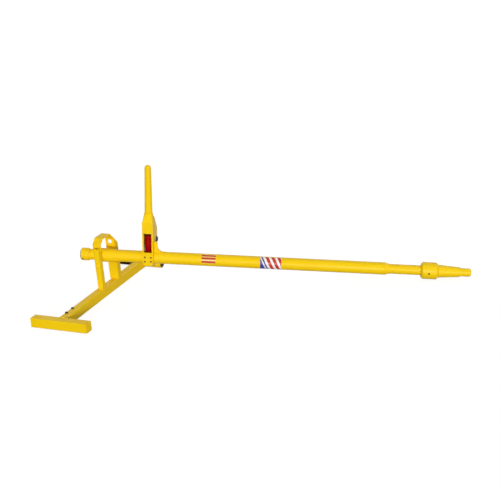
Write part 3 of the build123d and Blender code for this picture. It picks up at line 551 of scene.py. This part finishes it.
def metal_grain_group():
    """Height and tone of machined or plated metal: fine grain with scattered scratches."""
    group, entry, leave = new_group("metal_grain", [("Grain Scale", 700.0)], ["Height", "Tone"])
    grain = noise(group, entry.outputs["Grain Scale"], 4.0, 0.6)
    scratch = noise(group, 55.0, 6.0, 0.75, stretch=(1.0, 14.0, 6.0), distortion=0.4)
    scratch = math_node(group, "MULTIPLY", scratch, 0.8)
    link(group, math_node(group, "ADD", grain, scratch), leave.inputs["Height"])
    link(group, smooth_step(group, noise(group, 22.0, 4.0, 0.6), 0.3, 0.72), leave.inputs["Tone"])
    return group


GROUPS = {
    "edge_wear": edge_wear_group(),
    "grime": corner_shade_and_dust_group(),
    "paint_skin": paint_skin_group(),
    "metal_grain": metal_grain_group(),
}


def use_group(tree, name, **values):
    """A group placed in a material, with its own values; underscores stand for spaces."""
    node = tree.nodes.new("ShaderNodeGroup")
    node.node_tree = GROUPS[name]
    for label, value in values.items():
        node.inputs[label.replace("_", " ")].default_value = value
    return node.outputs


def linear(red, green, blue):
    """Linear colour of an sRGB colour given in 0 to 255."""
    share = np.array([red, green, blue]) / 255
    return (*np.where(share <= 0.04045, share / 12.92, ((share + 0.055) / 1.055) ** 2.4).tolist(), 1.0)


def mixed(tree, factor, a, b):
    """Colour mix; a and b are sockets or colours."""
    node = tree.nodes.new("ShaderNodeMix")
    node.data_type = "RGBA"
    if isinstance(factor, bpy.types.NodeSocket):
        link(tree, factor, node.inputs["Factor"])
    else:
        node.inputs["Factor"].default_value = factor
    for label, value in (("A", a), ("B", b)):
        socket = next(s for s in node.inputs if s.name == label and s.type == "RGBA")
        if isinstance(value, bpy.types.NodeSocket):
            link(tree, value, socket)
        else:
            socket.default_value = value
    return next(s for s in node.outputs if s.type == "RGBA")


def new_material(name, **constants):
    """Material with its Principled shader; the constants are set on the shader's own sockets."""
    material = bpy.data.materials.new(name)
    material.use_nodes = True
    shader = material.node_tree.nodes["Principled BSDF"]
    for label, value in constants.items():
        shader.inputs[label.replace("_", " ")].default_value = value
    return material, material.node_tree, shader


def bump(tree, shader, height, distance):
    """Bump on a shader's normal from a height, whose full range stands for the distance."""
    node = tree.nodes.new("ShaderNodeBump")
    node.inputs["Distance"].default_value = distance
    node.inputs["Strength"].default_value = 1.0
    link(tree, height, node.inputs["Height"])
    link(tree, node.outputs["Normal"], shader.inputs["Normal"])


def spread(tree, value, low, high):
    """A 0 to 1 mask spread between two plain values."""
    return math_node(tree, "ADD", math_node(tree, "MULTIPLY", value, high - low), low)


# colours of the painted shade in corners, and of dust on faces that look up
PAINT_CORNER_SHADE, PAINT_DUST = linear(120, 78, 8), linear(205, 190, 150)
METAL_CORNER_SHADE = linear(34, 28, 20)
PLASTIC_CORNER_SHADE, PLASTIC_DUST = linear(24, 14, 10), linear(150, 140, 120)


def enamel(name, tone, shade, primer, peel=1.0, wear=1.0, gloss=0.34):
    """Sprayed enamel over steel: drifting tone, orange peel, painted shade in corners, dust and chipped
    edges.
    """
    material, tree, shader = new_material(name, Specular_IOR_Level=0.07)
    skin = use_group(tree, "paint_skin", Peel=peel)
    edges = use_group(tree, "edge_wear", Amount=wear)
    grime = use_group(tree, "grime")
    colour = mixed(tree, spread(tree, skin["Drift"], 0.0, 0.4), tone, shade)
    # painted shade in the corners
    colour = mixed(tree, math_node(tree, "MULTIPLY", grime["Corner"], 0.55), colour, PAINT_CORNER_SHADE)
    colour = mixed(tree, math_node(tree, "MULTIPLY", grime["Dust"], 0.025), colour, PAINT_DUST)
    colour = mixed(tree, edges["Wear"], colour, primer)
    link(tree, colour, shader.inputs["Base Color"])
    rough = spread(tree, skin["Drift"], gloss, gloss + 0.1)
    rough = math_node(tree, "ADD", rough, math_node(tree, "MULTIPLY", edges["Wear"], 0.25))
    rough = math_node(tree, "ADD", rough, math_node(tree, "MULTIPLY", grime["Dust"], 0.12), clamp=True)
    link(tree, rough, shader.inputs["Roughness"])
    height = math_node(tree, "SUBTRACT", skin["Height"], math_node(tree, "MULTIPLY", edges["Wear"], 1.5))
    bump(tree, shader, height, 0.06 * MM)
    return material


def metal(name, tone, shade, metallic, rough, grain_scale=700.0, wear_tone=None):
    """Bare or coated metal: two tones in patches, grain, scratches, painted shade in corners and lighter
    rubbed edges.
    """
    material, tree, shader = new_material(name, Metallic=metallic, Specular_IOR_Level=0.45)
    grain = use_group(tree, "metal_grain", Grain_Scale=grain_scale)
    edges = use_group(tree, "edge_wear", Reach=0.0006)
    grime = use_group(tree, "grime", Corner_Reach=0.006)
    colour = mixed(tree, grain["Tone"], tone, shade)
    # painted shade in the corners
    colour = mixed(tree, math_node(tree, "MULTIPLY", grime["Corner"], 0.6), colour, METAL_CORNER_SHADE)
    colour = mixed(tree, math_node(tree, "MULTIPLY", edges["Edge"], 0.45), colour, wear_tone or tone)
    link(tree, colour, shader.inputs["Base Color"])
    link(tree, spread(tree, grain["Tone"], rough, rough + 0.16), shader.inputs["Roughness"])
    bump(tree, shader, grain["Height"], 0.04 * MM)
    return material


def moulded(name, tone, shade, rough, depth, grain_scale, specular=0.25):
    """Moulded plastic: fine texture, worn shine on the edges and painted shade in the corners."""
    material, tree, shader = new_material(name, Specular_IOR_Level=specular)
    grain = use_group(tree, "metal_grain", Grain_Scale=grain_scale)
    edges = use_group(tree, "edge_wear", Reach=0.0008)
    grime = use_group(tree, "grime", Corner_Reach=0.006)
    colour = mixed(tree, grain["Tone"], tone, shade)
    # painted shade in the corners
    colour = mixed(tree, math_node(tree, "MULTIPLY", grime["Corner"], 0.5), colour, PLASTIC_CORNER_SHADE)
    colour = mixed(tree, math_node(tree, "MULTIPLY", grime["Dust"], 0.08), colour, PLASTIC_DUST)
    link(tree, colour, shader.inputs["Base Color"])
    worn = math_node(tree, "MULTIPLY", edges["Edge"], -0.12)
    dull = spread(tree, grain["Tone"], rough, rough + 0.1)
    link(tree, math_node(tree, "ADD", dull, worn), shader.inputs["Roughness"])
    bump(tree, shader, grain["Height"], depth)
    return material


YELLOW = linear(252, 211, 18)
YELLOW_SHADE = linear(248, 198, 8)
PRIMER = linear(150, 118, 60)

yellow = enamel("yellow_enamel", YELLOW, YELLOW_SHADE, PRIMER)
weld_yellow = enamel(
    "weld_enamel", linear(249, 202, 14), linear(236, 182, 8), PRIMER, peel=1.6, wear=0.4, gloss=0.4
)
zinc = metal("zinc_plate", linear(196, 196, 190), linear(160, 158, 146), 0.9, 0.3)
bronze = metal("bearing_bronze", linear(176, 132, 74), linear(138, 98, 50), 0.95, 0.32, grain_scale=900.0)
black_oxide = metal(
    "black_oxide", linear(40, 32, 20), linear(54, 44, 28), 0.45, 0.42, wear_tone=linear(104, 92, 70)
)
black_moulded = moulded("black_moulded", linear(22, 22, 22), linear(32, 31, 30), 0.5, 0.06 * MM, 900.0)
# black of the strip that paints the shade on the rear foot
black_rubber = moulded(
    "black_rubber", linear(7, 7, 7), linear(12, 12, 11), 0.75, 0.08 * MM, 500.0, specular=0.08
)
red_moulded = moulded(
    "red_moulded", linear(172, 0, 5), linear(150, 0, 3), 0.45, 0.02 * MM, 300.0, specular=0.05
)

for name in nodes:
    nodes[name].data.materials.clear()
SLOT_MATERIAL = {
    "yellow_paint": yellow,
    "black_steel": black_oxide,
    "zinc_steel": zinc,
    "bronze": bronze,
    "black_plastic": black_moulded,
    "red_plastic": red_moulded,
}
for part in frame["record"]["subparts"]:
    nodes[part["node"]].data.materials.append(SLOT_MATERIAL[part["material_slot"]])


# ------------------------------------------------------------ shaped pieces
def held(node, base, direction, side):
    """Axes whose x runs along a direction of the base, from the node's low end on its middle line.

    Returns them with the node's length along x and its half widths across.
    """
    turned = turned_axes(base, direction, side)
    low, high = reach(node, turned)
    middle = (low + high) / 2
    return shifted(turned, low[0], middle[1], middle[2]), high[0] - low[0], (high - low)[1:] / 2


def screw(base, total, radius, head):
    """Shapes of a screw on the base's x axis: shank from 0, head at the end."""
    height, socket, shank = head
    under = total - height
    outline = [(0, 0), (0, shank * 0.4), (shank * 0.1, shank * 0.5), (under + 0.1 * height, shank * 0.5)]
    return [
        lathe([*outline, (under + 0.1 * height, 0)], base, 32),
        socket_screw(shifted(base, under), 2 * radius, height, socket, 0.5 * height),
    ]


def plug(base, total, rim_radius, rim, body_radius):
    """Shape of a plug on the base's x axis: body, rounded rim and dished face."""
    face = total - rim
    outline = [
        (0, 0), (0, body_radius - MM), (MM, body_radius), (face, body_radius), (face, rim_radius),
        (total - 0.6 * rim, rim_radius), (total - 0.25 * rim, rim_radius - 0.12 * rim),
        (total, rim_radius - 0.5 * rim), (total, rim_radius * 0.8), (total - 0.3 * rim, rim_radius * 0.74),
        (total - 0.3 * rim, 0),
    ]
    return lathe(outline, base)


def slab(outline, base, thickness, ease):
    """Plate with rounded edges; its outline lies across the base's x axis.

    The rings are the outline, shrunk towards its middle at both faces by the rounding.
    """
    middle = outline.mean(0)
    arm = outline - middle
    share = 1 - ease / np.abs(arm).max()
    rings = [(0, 0), (0, share), (ease, 1), (thickness - ease, 1), (thickness, share), (thickness, 0)]
    points = [np.column_stack([np.full(len(arm), level), middle + arm * size]) for level, size in rings]
    return placed(base, np.concatenate(points)), grid_faces(len(rings), len(arm))


UP, BACK, RIGHT, FRONT, LEFT = (0, 0, 1), (0, 1, 0), (1, 0, 0), (0, -1, 0), (-1, 0, 0)
SQUARE = np.array([(-1, -1), (1, -1), (1, 1), (-1, 1)])

for node, width in {
    "foot_end_caps": 0.9 * MM, "near_leg": EASE_FINE, "far_leg": EASE_FINE, "hoop": EASE, "cheek_left": EASE,
    "cheek_right": EASE, "front_plate": EASE_FINE, "rear_plate": EASE_FINE, "clamp_plate": 0.8 * MM,
    "latch_shelf": EASE_FINE, "neck": 1.2 * MM, "gusset": EASE, "yoke": 0.4 * MM,
}.items():
    eased(node, yellow, width)
eased("trunnion_washer", zinc, 0.4 * MM)

# stem bolts, leg bolt
low, high = reach("stem_bolts", STAND)
radius = (high[0] - low[0]) / 2
shapes = []
for y in (low[1] + radius, high[1] - radius):
    base = turned_axes(shifted(STAND, (low[0] + high[0]) / 2, y, low[2]), UP, BACK)
    shapes += screw(base, high[2] - low[2], radius, STEM_BOLT)
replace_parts(make_piece("stem_bolts_finished", shapes, "stand", black_oxide), "stem_bolts")

base, total, half = held("leg_bolt", STAND, FRONT, UP)
quarter = np.linspace(0, math.pi / 2, 12)
under = total - LEG_HEAD
outline = [(0, 0), (0, LEG_SHANK - SHANK_TIP[1]), (SHANK_TIP[0], LEG_SHANK)]
outline += [(under, LEG_SHANK), (under, half[0])]
dome = LEG_HEAD - LEG_RIM
outline += [(under + LEG_RIM + dome * math.sin(a), half[0] * math.cos(a)) for a in quarter]
piece = make_piece("leg_bolt_finished", [lathe(outline, base)], "stand", yellow)
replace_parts(piece, "leg_bolt")

# clamp screws
low, high = reach("clamp_screws", BAR)
radius = CLAMP_HEAD / 2
shapes = []
for x in (low[0] + radius, high[0] - radius):
    for z in (low[2] + radius, high[2] - radius):
        base = turned_axes(shifted(BAR, x, high[1], z), FRONT, UP)
        shapes += screw(base, high[1] - low[1], radius, CLAMP_SCREW)
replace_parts(make_piece("clamp_screws_finished", shapes, "bar", black_oxide), "clamp_screws")

# side bolt and its nut
base, total, half = held("side_bolt", BAR, RIGHT, BACK)
shapes = screw(base, total, half[0], SIDE_BOLT)
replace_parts(make_piece("side_bolt_finished", shapes, "bar", black_oxide), "side_bolt")
base, total, half = held("side_bolt_nut", BAR, RIGHT, BACK)
shapes = [hex_nut(base, SIDE_NUT[0] * half[0], total, SIDE_NUT[1])]
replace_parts(make_piece("side_nut_finished", shapes, "bar", black_oxide), "side_bolt_nut")

# set screws of the two collars
for node, body in (("end_collar_screw", "bar"), ("lock_collar_screw", "collar")):
    mesh = nodes[node].data
    points = np.array([vertex.co for vertex in mesh.vertices])
    outward = (points.mean(0) - BAR[:3, 3]) @ BAR[:3, :3]
    outward[0] = 0
    base, total, half = held(node, BAR, outward, RIGHT)
    shapes = [socket_screw(base, 2 * half[0], total, half[0], SET_ROUND)]
    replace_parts(make_piece(f"{node}_finished", shapes, body, black_oxide), node)

# trunnion nut
base, total, half = held("trunnion_nut", shifted(STAND, *joints["stand_tilt"]["pos_m"]), BACK, UP)
shapes = [hex_nut(base, TRUNNION_NUT[0], total, TRUNNION_NUT[1])]
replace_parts(make_piece("trunnion_nut_finished", shapes, "tilt_yoke", zinc), "trunnion_nut")

# plugs of the rear foot and of the bar's open end
low, high = reach("rear_foot_plugs", STAND)
rim_radius = (high[2] - low[2]) / 2
shapes = []
for x, direction in ((low[0], LEFT), (high[0], RIGHT)):
    inner = x - direction[0] * (PLUG_DEPTH + PLUG_RIM)
    base = turned_axes(shifted(STAND, inner, (low[1] + high[1]) / 2, (low[2] + high[2]) / 2), direction, BACK)
    shapes.append(plug(base, PLUG_DEPTH + PLUG_RIM, rim_radius, PLUG_RIM, rim_radius - FOOT_PLUG_STEP))
piece = make_piece("rear_foot_plugs_finished", shapes, "stand", black_moulded, 50)
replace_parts(piece, "rear_foot_plugs")
base, total, half = held("end_plug", BAR, LEFT, BACK)
shapes = [plug(base, total, half[0], PLUG_RIM, half[0] - END_PLUG_STEP)]
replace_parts(make_piece("end_plug_finished", shapes, "bar", black_moulded, 50), "end_plug")

# grip: straight taper with a fine groove above its foot and a rounded top
base, total, half = held("grip", BAR, UP, RIGHT)
foot = half[0]
low, high, depth = GRIP_GROOVE
outline = [(0, 0), (0, foot - GRIP_EASE), (GRIP_EASE, foot), (low, foot), (low + GRIP_EASE, foot - depth)]
outline += [(high - GRIP_EASE, foot - depth), (high, foot - GRIP_STEP)]
outline += [
    (total - GRIP_ROUND + GRIP_ROUND * math.sin(a), GRIP_TOP / 2 - GRIP_ROUND * (1 - math.cos(a)))
    for a in quarter
]
outline += [(total, 0)]
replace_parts(make_piece("grip_finished", [lathe(outline, base, 96)], "bar", yellow), "grip")

# latch: nose, body with a finger groove, stem; two black lugs stand on its body and paint the shade at its
# top
base, total, half = held("latch", BAR, UP, RIGHT)
body_low, body_high = LATCH_BODY
nose, bevel = LATCH_NOSE
side, ease = half[0], LATCH_EASE
outline = [(0, 0), (0, nose - bevel), (bevel, nose), (body_low, nose), (body_low, side - ease)]
outline += [(body_low + 0.3 * ease, side - 0.3 * ease), (body_low + ease, side)]
below, wide, depth = FINGER_GROOVE
for along, sunk in ((-1, 0), (-0.5, 0.625), (0, 1), (0.5, 0.625), (1, 0)):
    outline.append((body_high - below + along * wide, side - sunk * depth))
outline += [(body_high - ease, side), (body_high - 0.3 * ease, side - 0.3 * ease)]
stem, bevel = LATCH_STEM
outline += [(body_high, side - ease), (body_high, stem)]
outline += [(total - bevel, stem), (total, stem - bevel), (total, 0)]
piece = make_piece("latch_finished", [lathe(outline, base)], "latch", red_moulded)
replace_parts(piece, "latch")
# black lugs that paint the shade at the latch's top
corners = SQUARE * LUG[:2]
foot = shifted(base, body_high - LUG_SUNK)
shapes = [slab(rounded(corners + (way * LUG_OUT, 0), MM), foot, LUG[2], LUG_EASE) for way in (-1, 1)]
make_piece("latch_lugs", shapes, "latch", black_moulded)

# spring over the latch
base, total, half = held("latch_spring", BAR, UP, RIGHT)
coil = coil_spring(base, 0.0, total, half[0] - SPRING_WIRE, SPRING_WIRE, SPRING_TURNS)
spring = make_piece("latch_spring_coil", [coil], "bar", zinc)
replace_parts(spring, "latch_spring")
shifted(base, total)[:3, 3]
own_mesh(spring)


# ------------------------------------------------------------------- welds
def through(base, points, outward, radius):
    """Open bead through points of a base."""
    return weld_bead(placed(base, points), base[:3, :3] @ unit(outward), radius, closed=False)


def evenly_outward(outward, path):
    """Outward directions for the evenly spaced points that a bead uses."""
    turned = evenly(outward, bead_stops(path)[1])
    return turned / np.linalg.norm(turned, axis=1, keepdims=True)


def hoop_bead(base, radius, x, bead):
    """Closed bead round the base's x axis."""
    turn = np.linspace(0, 2 * math.pi, 180, endpoint=False)
    path = placed(base, np.stack([x + 0 * turn, radius * np.cos(turn), radius * np.sin(turn)], 1))
    outward = np.stack([0 * turn, np.cos(turn), np.sin(turn)], 1) @ base[:3, :3].T
    return weld_bead(path, evenly_outward(outward, path), bead)


stem_low, stem_high = reach("stem_tube", STAND)
near_low, near_high = reach("near_leg", STAND)
far_low, far_high = reach("far_leg", STAND)
left, right = stem_low[0], stem_high[0]
front, top = stem_low[1], stem_high[2]
ends = [(left + TUBE_CORNER, front, top), (right - TUBE_CORNER, front, top)]
beads = [through(STAND, ends, UP, WELD_FINE)]
for x, side in ((left, -1), (right, 1)):
    beads.append(through(STAND, [(x, front, TUBE_CORNER), (x, front, top)], (side, 1, 0), WELD_LEG))
(x0, y0), (x1, y1) = near_low[:2], near_high[:2]
beads.append(through(STAND, [(x1, y0, top), (x0, y0, top), (x0, y1, top), (x1, y1, top)], UP, WELD_LEG))
for y, side in ((far_low[1], -1), (far_high[1], 1)):
    beads.append(through(STAND, [(left, y, top), (right, y, top)], (0, side, 1), WELD_LEG))
for x, side in ((left, -1), (right, 1)):
    beads.append(through(STAND, [(x, far_low[1], top), (x, far_high[1], top)], (side, 0, -1), WELD_LEG))
# hoop's end in the near leg's notch
tail = (y1, reach("hoop", STAND)[0][2])
for x, side in ((x0, -1), (x1, 1)):
    beads.append(through(STAND, [(x, *tail), (x, y1, near_high[2] - MM)], (side, 1, 0), WELD_FINE))
beads.append(through(STAND, [(x0, *tail), (x1, *tail)], (0, 1, -1), WELD_FINE))
# hoop's end on the far leg's front
mesh = nodes["far_leg"].data
points = (np.array([vertex.co for vertex in mesh.vertices]) - STAND[:3, 3]) @ STAND[:3, :3]
seam = points[points[:, 1] < far_low[1] + MM][:, 2].max()
for z, outward in ((seam - HOOP_SEAM, (0, -1, -1)), (seam, (0, 0.4, 1))):
    ends = [(far_low[0] + MM, far_low[1], z), (far_high[0] - MM, far_low[1], z)]
    beads.append(through(STAND, ends, outward, WELD_FINE))
# stem's coped end on the rear foot
foot_low, foot_high = reach("rear_foot_tube", STAND)
foot_radius = (foot_high[2] - foot_low[2]) / 2
foot_y = (foot_low[1] + foot_high[1]) / 2
turn = np.linspace(*COPE_TURNS, 40)
for x, side in ((left, -1), (right, 1)):
    round_foot = (foot_y - foot_radius * np.sin(turn), foot_radius + foot_radius * np.cos(turn))
    path = np.stack([np.full(40, x), *round_foot], 1)
    beads.append(through(STAND, path, (side, 0, 0), WELD_LEG * 0.9))
make_piece("stand_welds", beads, "stand", weld_yellow, 60)

# black strip on the rear foot that paints the shade under the bar: an arc out and back at two radii, shrunk
# to its middle at both ends
around = 20
there = np.linspace(*SHADE_STRIP_TURNS, around)
angle = np.concatenate([there, there[::-1]])
radius = np.tile(foot_radius + np.repeat([SHADE_STRIP[0], SHADE_STRIP_GAP], around), (4, 1))
radius[[0, -1]] = foot_radius + SHADE_STRIP[0] / 2
ends = (foot_low[0] + SHADE_STRIP[1], left - 1.5 * SHADE_STRIP[1])
x = np.broadcast_to(np.repeat(ends, 2)[:, None], radius.shape)
points = np.stack([x, foot_y - radius * np.cos(angle), foot_radius + radius * np.sin(angle)], -1)
shapes = [(placed(STAND, points), grid_faces(4, 2 * around))]
make_piece("rear_foot_strip", shapes, "stand", black_rubber)

tube_low, tube_high = reach("main_tube", BAR)
tube_radius = (tube_high[2] - tube_low[2]) / 2
left = reach("cheek_left", BAR)[0][0]
right = reach("cheek_right", BAR)[1][0]
gusset_low, gusset_high = reach("gusset", BAR)
beads = [
    hoop_bead(BAR, tube_radius + 0.1 * WELD_FINE, left, WELD_FINE),
    hoop_bead(BAR, tube_radius + 0.1 * WELD_FINE, right, WELD_FINE),
    hoop_bead(BAR, tube_radius - SEAM_SUNK, tube_high[0], SEAM_WELD),
]
for y in (gusset_low[1], gusset_high[1]):
    z = math.sqrt(tube_radius**2 - y**2)
    side = math.copysign(1, y)
    beads.append(through(BAR, [(right, y, z), (gusset_high[0], y, z)], (0, side, 0.5), WELD_FINE))
    beads.append(through(BAR, [(right, y, z), (right, y, gusset_high[2])], (1, side, 0), WELD_FINE))
make_piece("bar_welds", beads, "bar", weld_yellow, 60)


# ------------------------------------------------------------------ labels
def label(name, stations, turns, material):
    """Printed film on the tube with its own map, u along the bar and v up the tube.

    The film's section is an arc out and back at two radii. A point at station x, radius r and
    angle a from straight up towards the front lies at (x, -r sin a, r cos a). The first and
    last sections shrink to the middle radius, which closes the ends.
    """
    around, along = 24, 12
    there = np.linspace(*turns, around)
    angle = np.concatenate([there, there[::-1]])
    inner, outer = tube_radius + LABEL_GAP, tube_radius + LABEL_LIFT
    x = np.concatenate([stations[:1], np.linspace(*stations, along), stations[1:]])
    radius = np.tile(np.repeat([outer, inner], around), (len(x), 1))
    radius[[0, -1]] = (inner + outer) / 2
    x = np.broadcast_to(x[:, None], radius.shape)
    points = placed(BAR, np.stack([x, -radius * np.sin(angle), radius * np.cos(angle)], -1))
    piece = make_piece(name, [(points, grid_faces(*radius.shape))], "bar", material)
    mesh = piece.data
    local = (np.array([vertex.co for vertex in mesh.vertices]) - BAR[:3, 3]) @ BAR[:3, :3]
    u = (local[:, 0] - stations[0]) / (stations[1] - stations[0])
    v = 1 - (np.arctan2(-local[:, 1], local[:, 2]) - turns[0]) / (turns[1] - turns[0])
    corners = np.array([loop.vertex_index for loop in mesh.loops])
    chart = mesh.uv_layers.new(name="label_map")
    chart.data.foreach_set("uv", np.stack([u, v], 1)[corners].astype(np.float32).ravel())


def striped(name, ground, inks, along, across, wave):
    """Printed film: stripes of ink on a ground, scuffed through in places.

    The stripes follow p = along * u + across * v; inks are (start, end, colour) bands of p.
    """
    material, tree, shader = new_material(name, Specular_IOR_Level=0.3)
    chart = tree.nodes.new("ShaderNodeUVMap")
    chart.uv_map = "label_map"
    split = tree.nodes.new("ShaderNodeSeparateXYZ")
    link(tree, chart.outputs["UV"], split.inputs["Vector"])
    p = math_node(
        tree, "ADD", math_node(tree, "MULTIPLY", split.outputs["X"], along),
        math_node(tree, "MULTIPLY", split.outputs["Y"], across),
    )
    p = math_node(tree, "ADD", p, math_node(tree, "MULTIPLY", noise(tree, 300.0), wave))
    colour = ground
    bleed = 0.012
    for start, end, ink in inks:
        rise = smooth_step(tree, p, start - bleed, start + bleed)
        fall = smooth_step(tree, p, end - bleed, end + bleed)
        colour = mixed(tree, math_node(tree, "SUBTRACT", rise, fall), colour, ink)
    edges = use_group(tree, "edge_wear", Amount=0.6)
    skin = use_group(tree, "paint_skin")
    colour = mixed(tree, spread(tree, skin["Drift"], 0.0, 0.06), colour, AGED)
    colour = mixed(tree, edges["Wear"], colour, YELLOW)
    link(tree, colour, shader.inputs["Base Color"])
    link(tree, spread(tree, skin["Drift"], 0.32, 0.42), shader.inputs["Roughness"])
    bump(tree, shader, skin["Height"], 0.03 * MM)
    return material


RED, WHITE, BLUE = linear(196, 16, 8), linear(250, 248, 240), linear(14, 18, 150)
BRICK, CREAM, AGED = linear(192, 50, 6), linear(252, 214, 120), linear(190, 170, 120)
bars = [(0.06, 0.28, BRICK), (0.42, 0.64, BRICK), (0.74, 0.94, BRICK)]
label("red_striped_label", RED_LABEL, RED_TURNS, striped("red_label", CREAM, bars, 0.0, 1.0, 0.05))
bars = [(0.00, 0.30, BLUE), (0.36, 0.44, BLUE), (0.56, 0.72, RED), (0.84, 1.0, RED), (1.12, 1.28, RED)]
label("slant_striped_label", STRIPED_LABEL, SLANT_TURNS, striped("slant_label", WHITE, bars, 1.0, 0.35, 0.01))


# ------------------------------------------------------------------ camera
def look(name, place, heading, dip, roll):
    """Camera from its place, heading towards +X from +Y, angle below level, and roll, in degrees."""
    heading, dip, roll = (math.radians(angle) for angle in (heading, dip, roll))
    forward = np.array(
        [math.sin(heading) * math.cos(dip), math.cos(heading) * math.cos(dip), -math.sin(dip)]
    )
    level_right = np.array([math.cos(heading), -math.sin(heading), 0.0])
    level_up = np.cross(level_right, forward)
    right = math.cos(roll) * level_right - math.sin(roll) * level_up
    base = axes(place, right, np.cross(-forward, right))
    camera = bpy.data.objects.new(name, bpy.data.cameras.new(name))
    camera.data.lens = LENS
    camera.data.sensor_width = FILM
    bpy.context.scene.collection.objects.link(camera)
    camera.matrix_world = Matrix(base.tolist())
    bpy.context.scene.camera = camera


look("view_camera", CAMERA_PLACE, *CAMERA_TURNS)


# ------------------------------------------------------- lights and backdrop
def seen_directly(tree):
    """Mask of the rays that the camera, a glossy face or a clear body sends out."""
    path = tree.nodes.new("ShaderNodeLightPath")
    mask = math_node(tree, "MAXIMUM", path.outputs["Is Camera Ray"], path.outputs["Is Transmission Ray"])
    return math_node(tree, "MAXIMUM", mask, path.outputs["Is Glossy Ray"])


def far_light(name, towards, energy, width, matt, gloss):
    """Sun lamp that lies towards a direction and looks as wide as the angle in degrees."""
    lamp = bpy.data.lights.new(name, "SUN")
    lamp.energy = energy
    lamp.angle = math.radians(width)
    piece = bpy.data.objects.new(name, lamp)
    bpy.context.scene.collection.objects.link(piece)
    towards = unit(towards)
    across = unit(np.cross((0, 0, 1), towards))
    base = axes((0, 0, LAMP_HEIGHT), across, np.cross(towards, across))
    piece.matrix_world = Matrix(base.tolist())
    piece.visible_diffuse = matt
    piece.visible_glossy = gloss


corners = np.column_stack([SQUARE * FLOOR_SIZE / 2, np.zeros(4)])
floor_mesh = bpy.data.meshes.new("floor")
floor_mesh.from_pydata(corners.tolist(), [], [(0, 1, 2, 3)])
floor = bpy.data.objects.new("floor", floor_mesh)
bpy.context.scene.collection.objects.link(floor)
floor.location.z = cad_bounds[0][2] - FLOOR_DROP

paper, tree, shader = new_material("pale_floor", Roughness=0.9, Specular_IOR_Level=0.1)
shader.inputs["Base Color"].default_value = (FLOOR_TONE, FLOOR_TONE, FLOOR_TONE, 1)
shader.inputs["Emission Color"].default_value = (1, 1, 1, 1)
link(tree, math_node(tree, "MULTIPLY", seen_directly(tree), FLOOR_GLOW), shader.inputs["Emission Strength"])
floor.data.materials.append(paper)

world = bpy.data.worlds.new("studio")
bpy.context.scene.world = world
world.use_nodes = True
tree = world.node_tree
sky = tree.nodes["Background"]
sky.inputs["Color"].default_value = (1, 1, 1, 1)
link(tree, math_node(tree, "MAXIMUM", seen_directly(tree), AMBIENT), sky.inputs["Strength"])

for lamp in LAMPS:
    far_light(*lamp)

bpy.context.scene.view_settings.view_transform = "Standard"
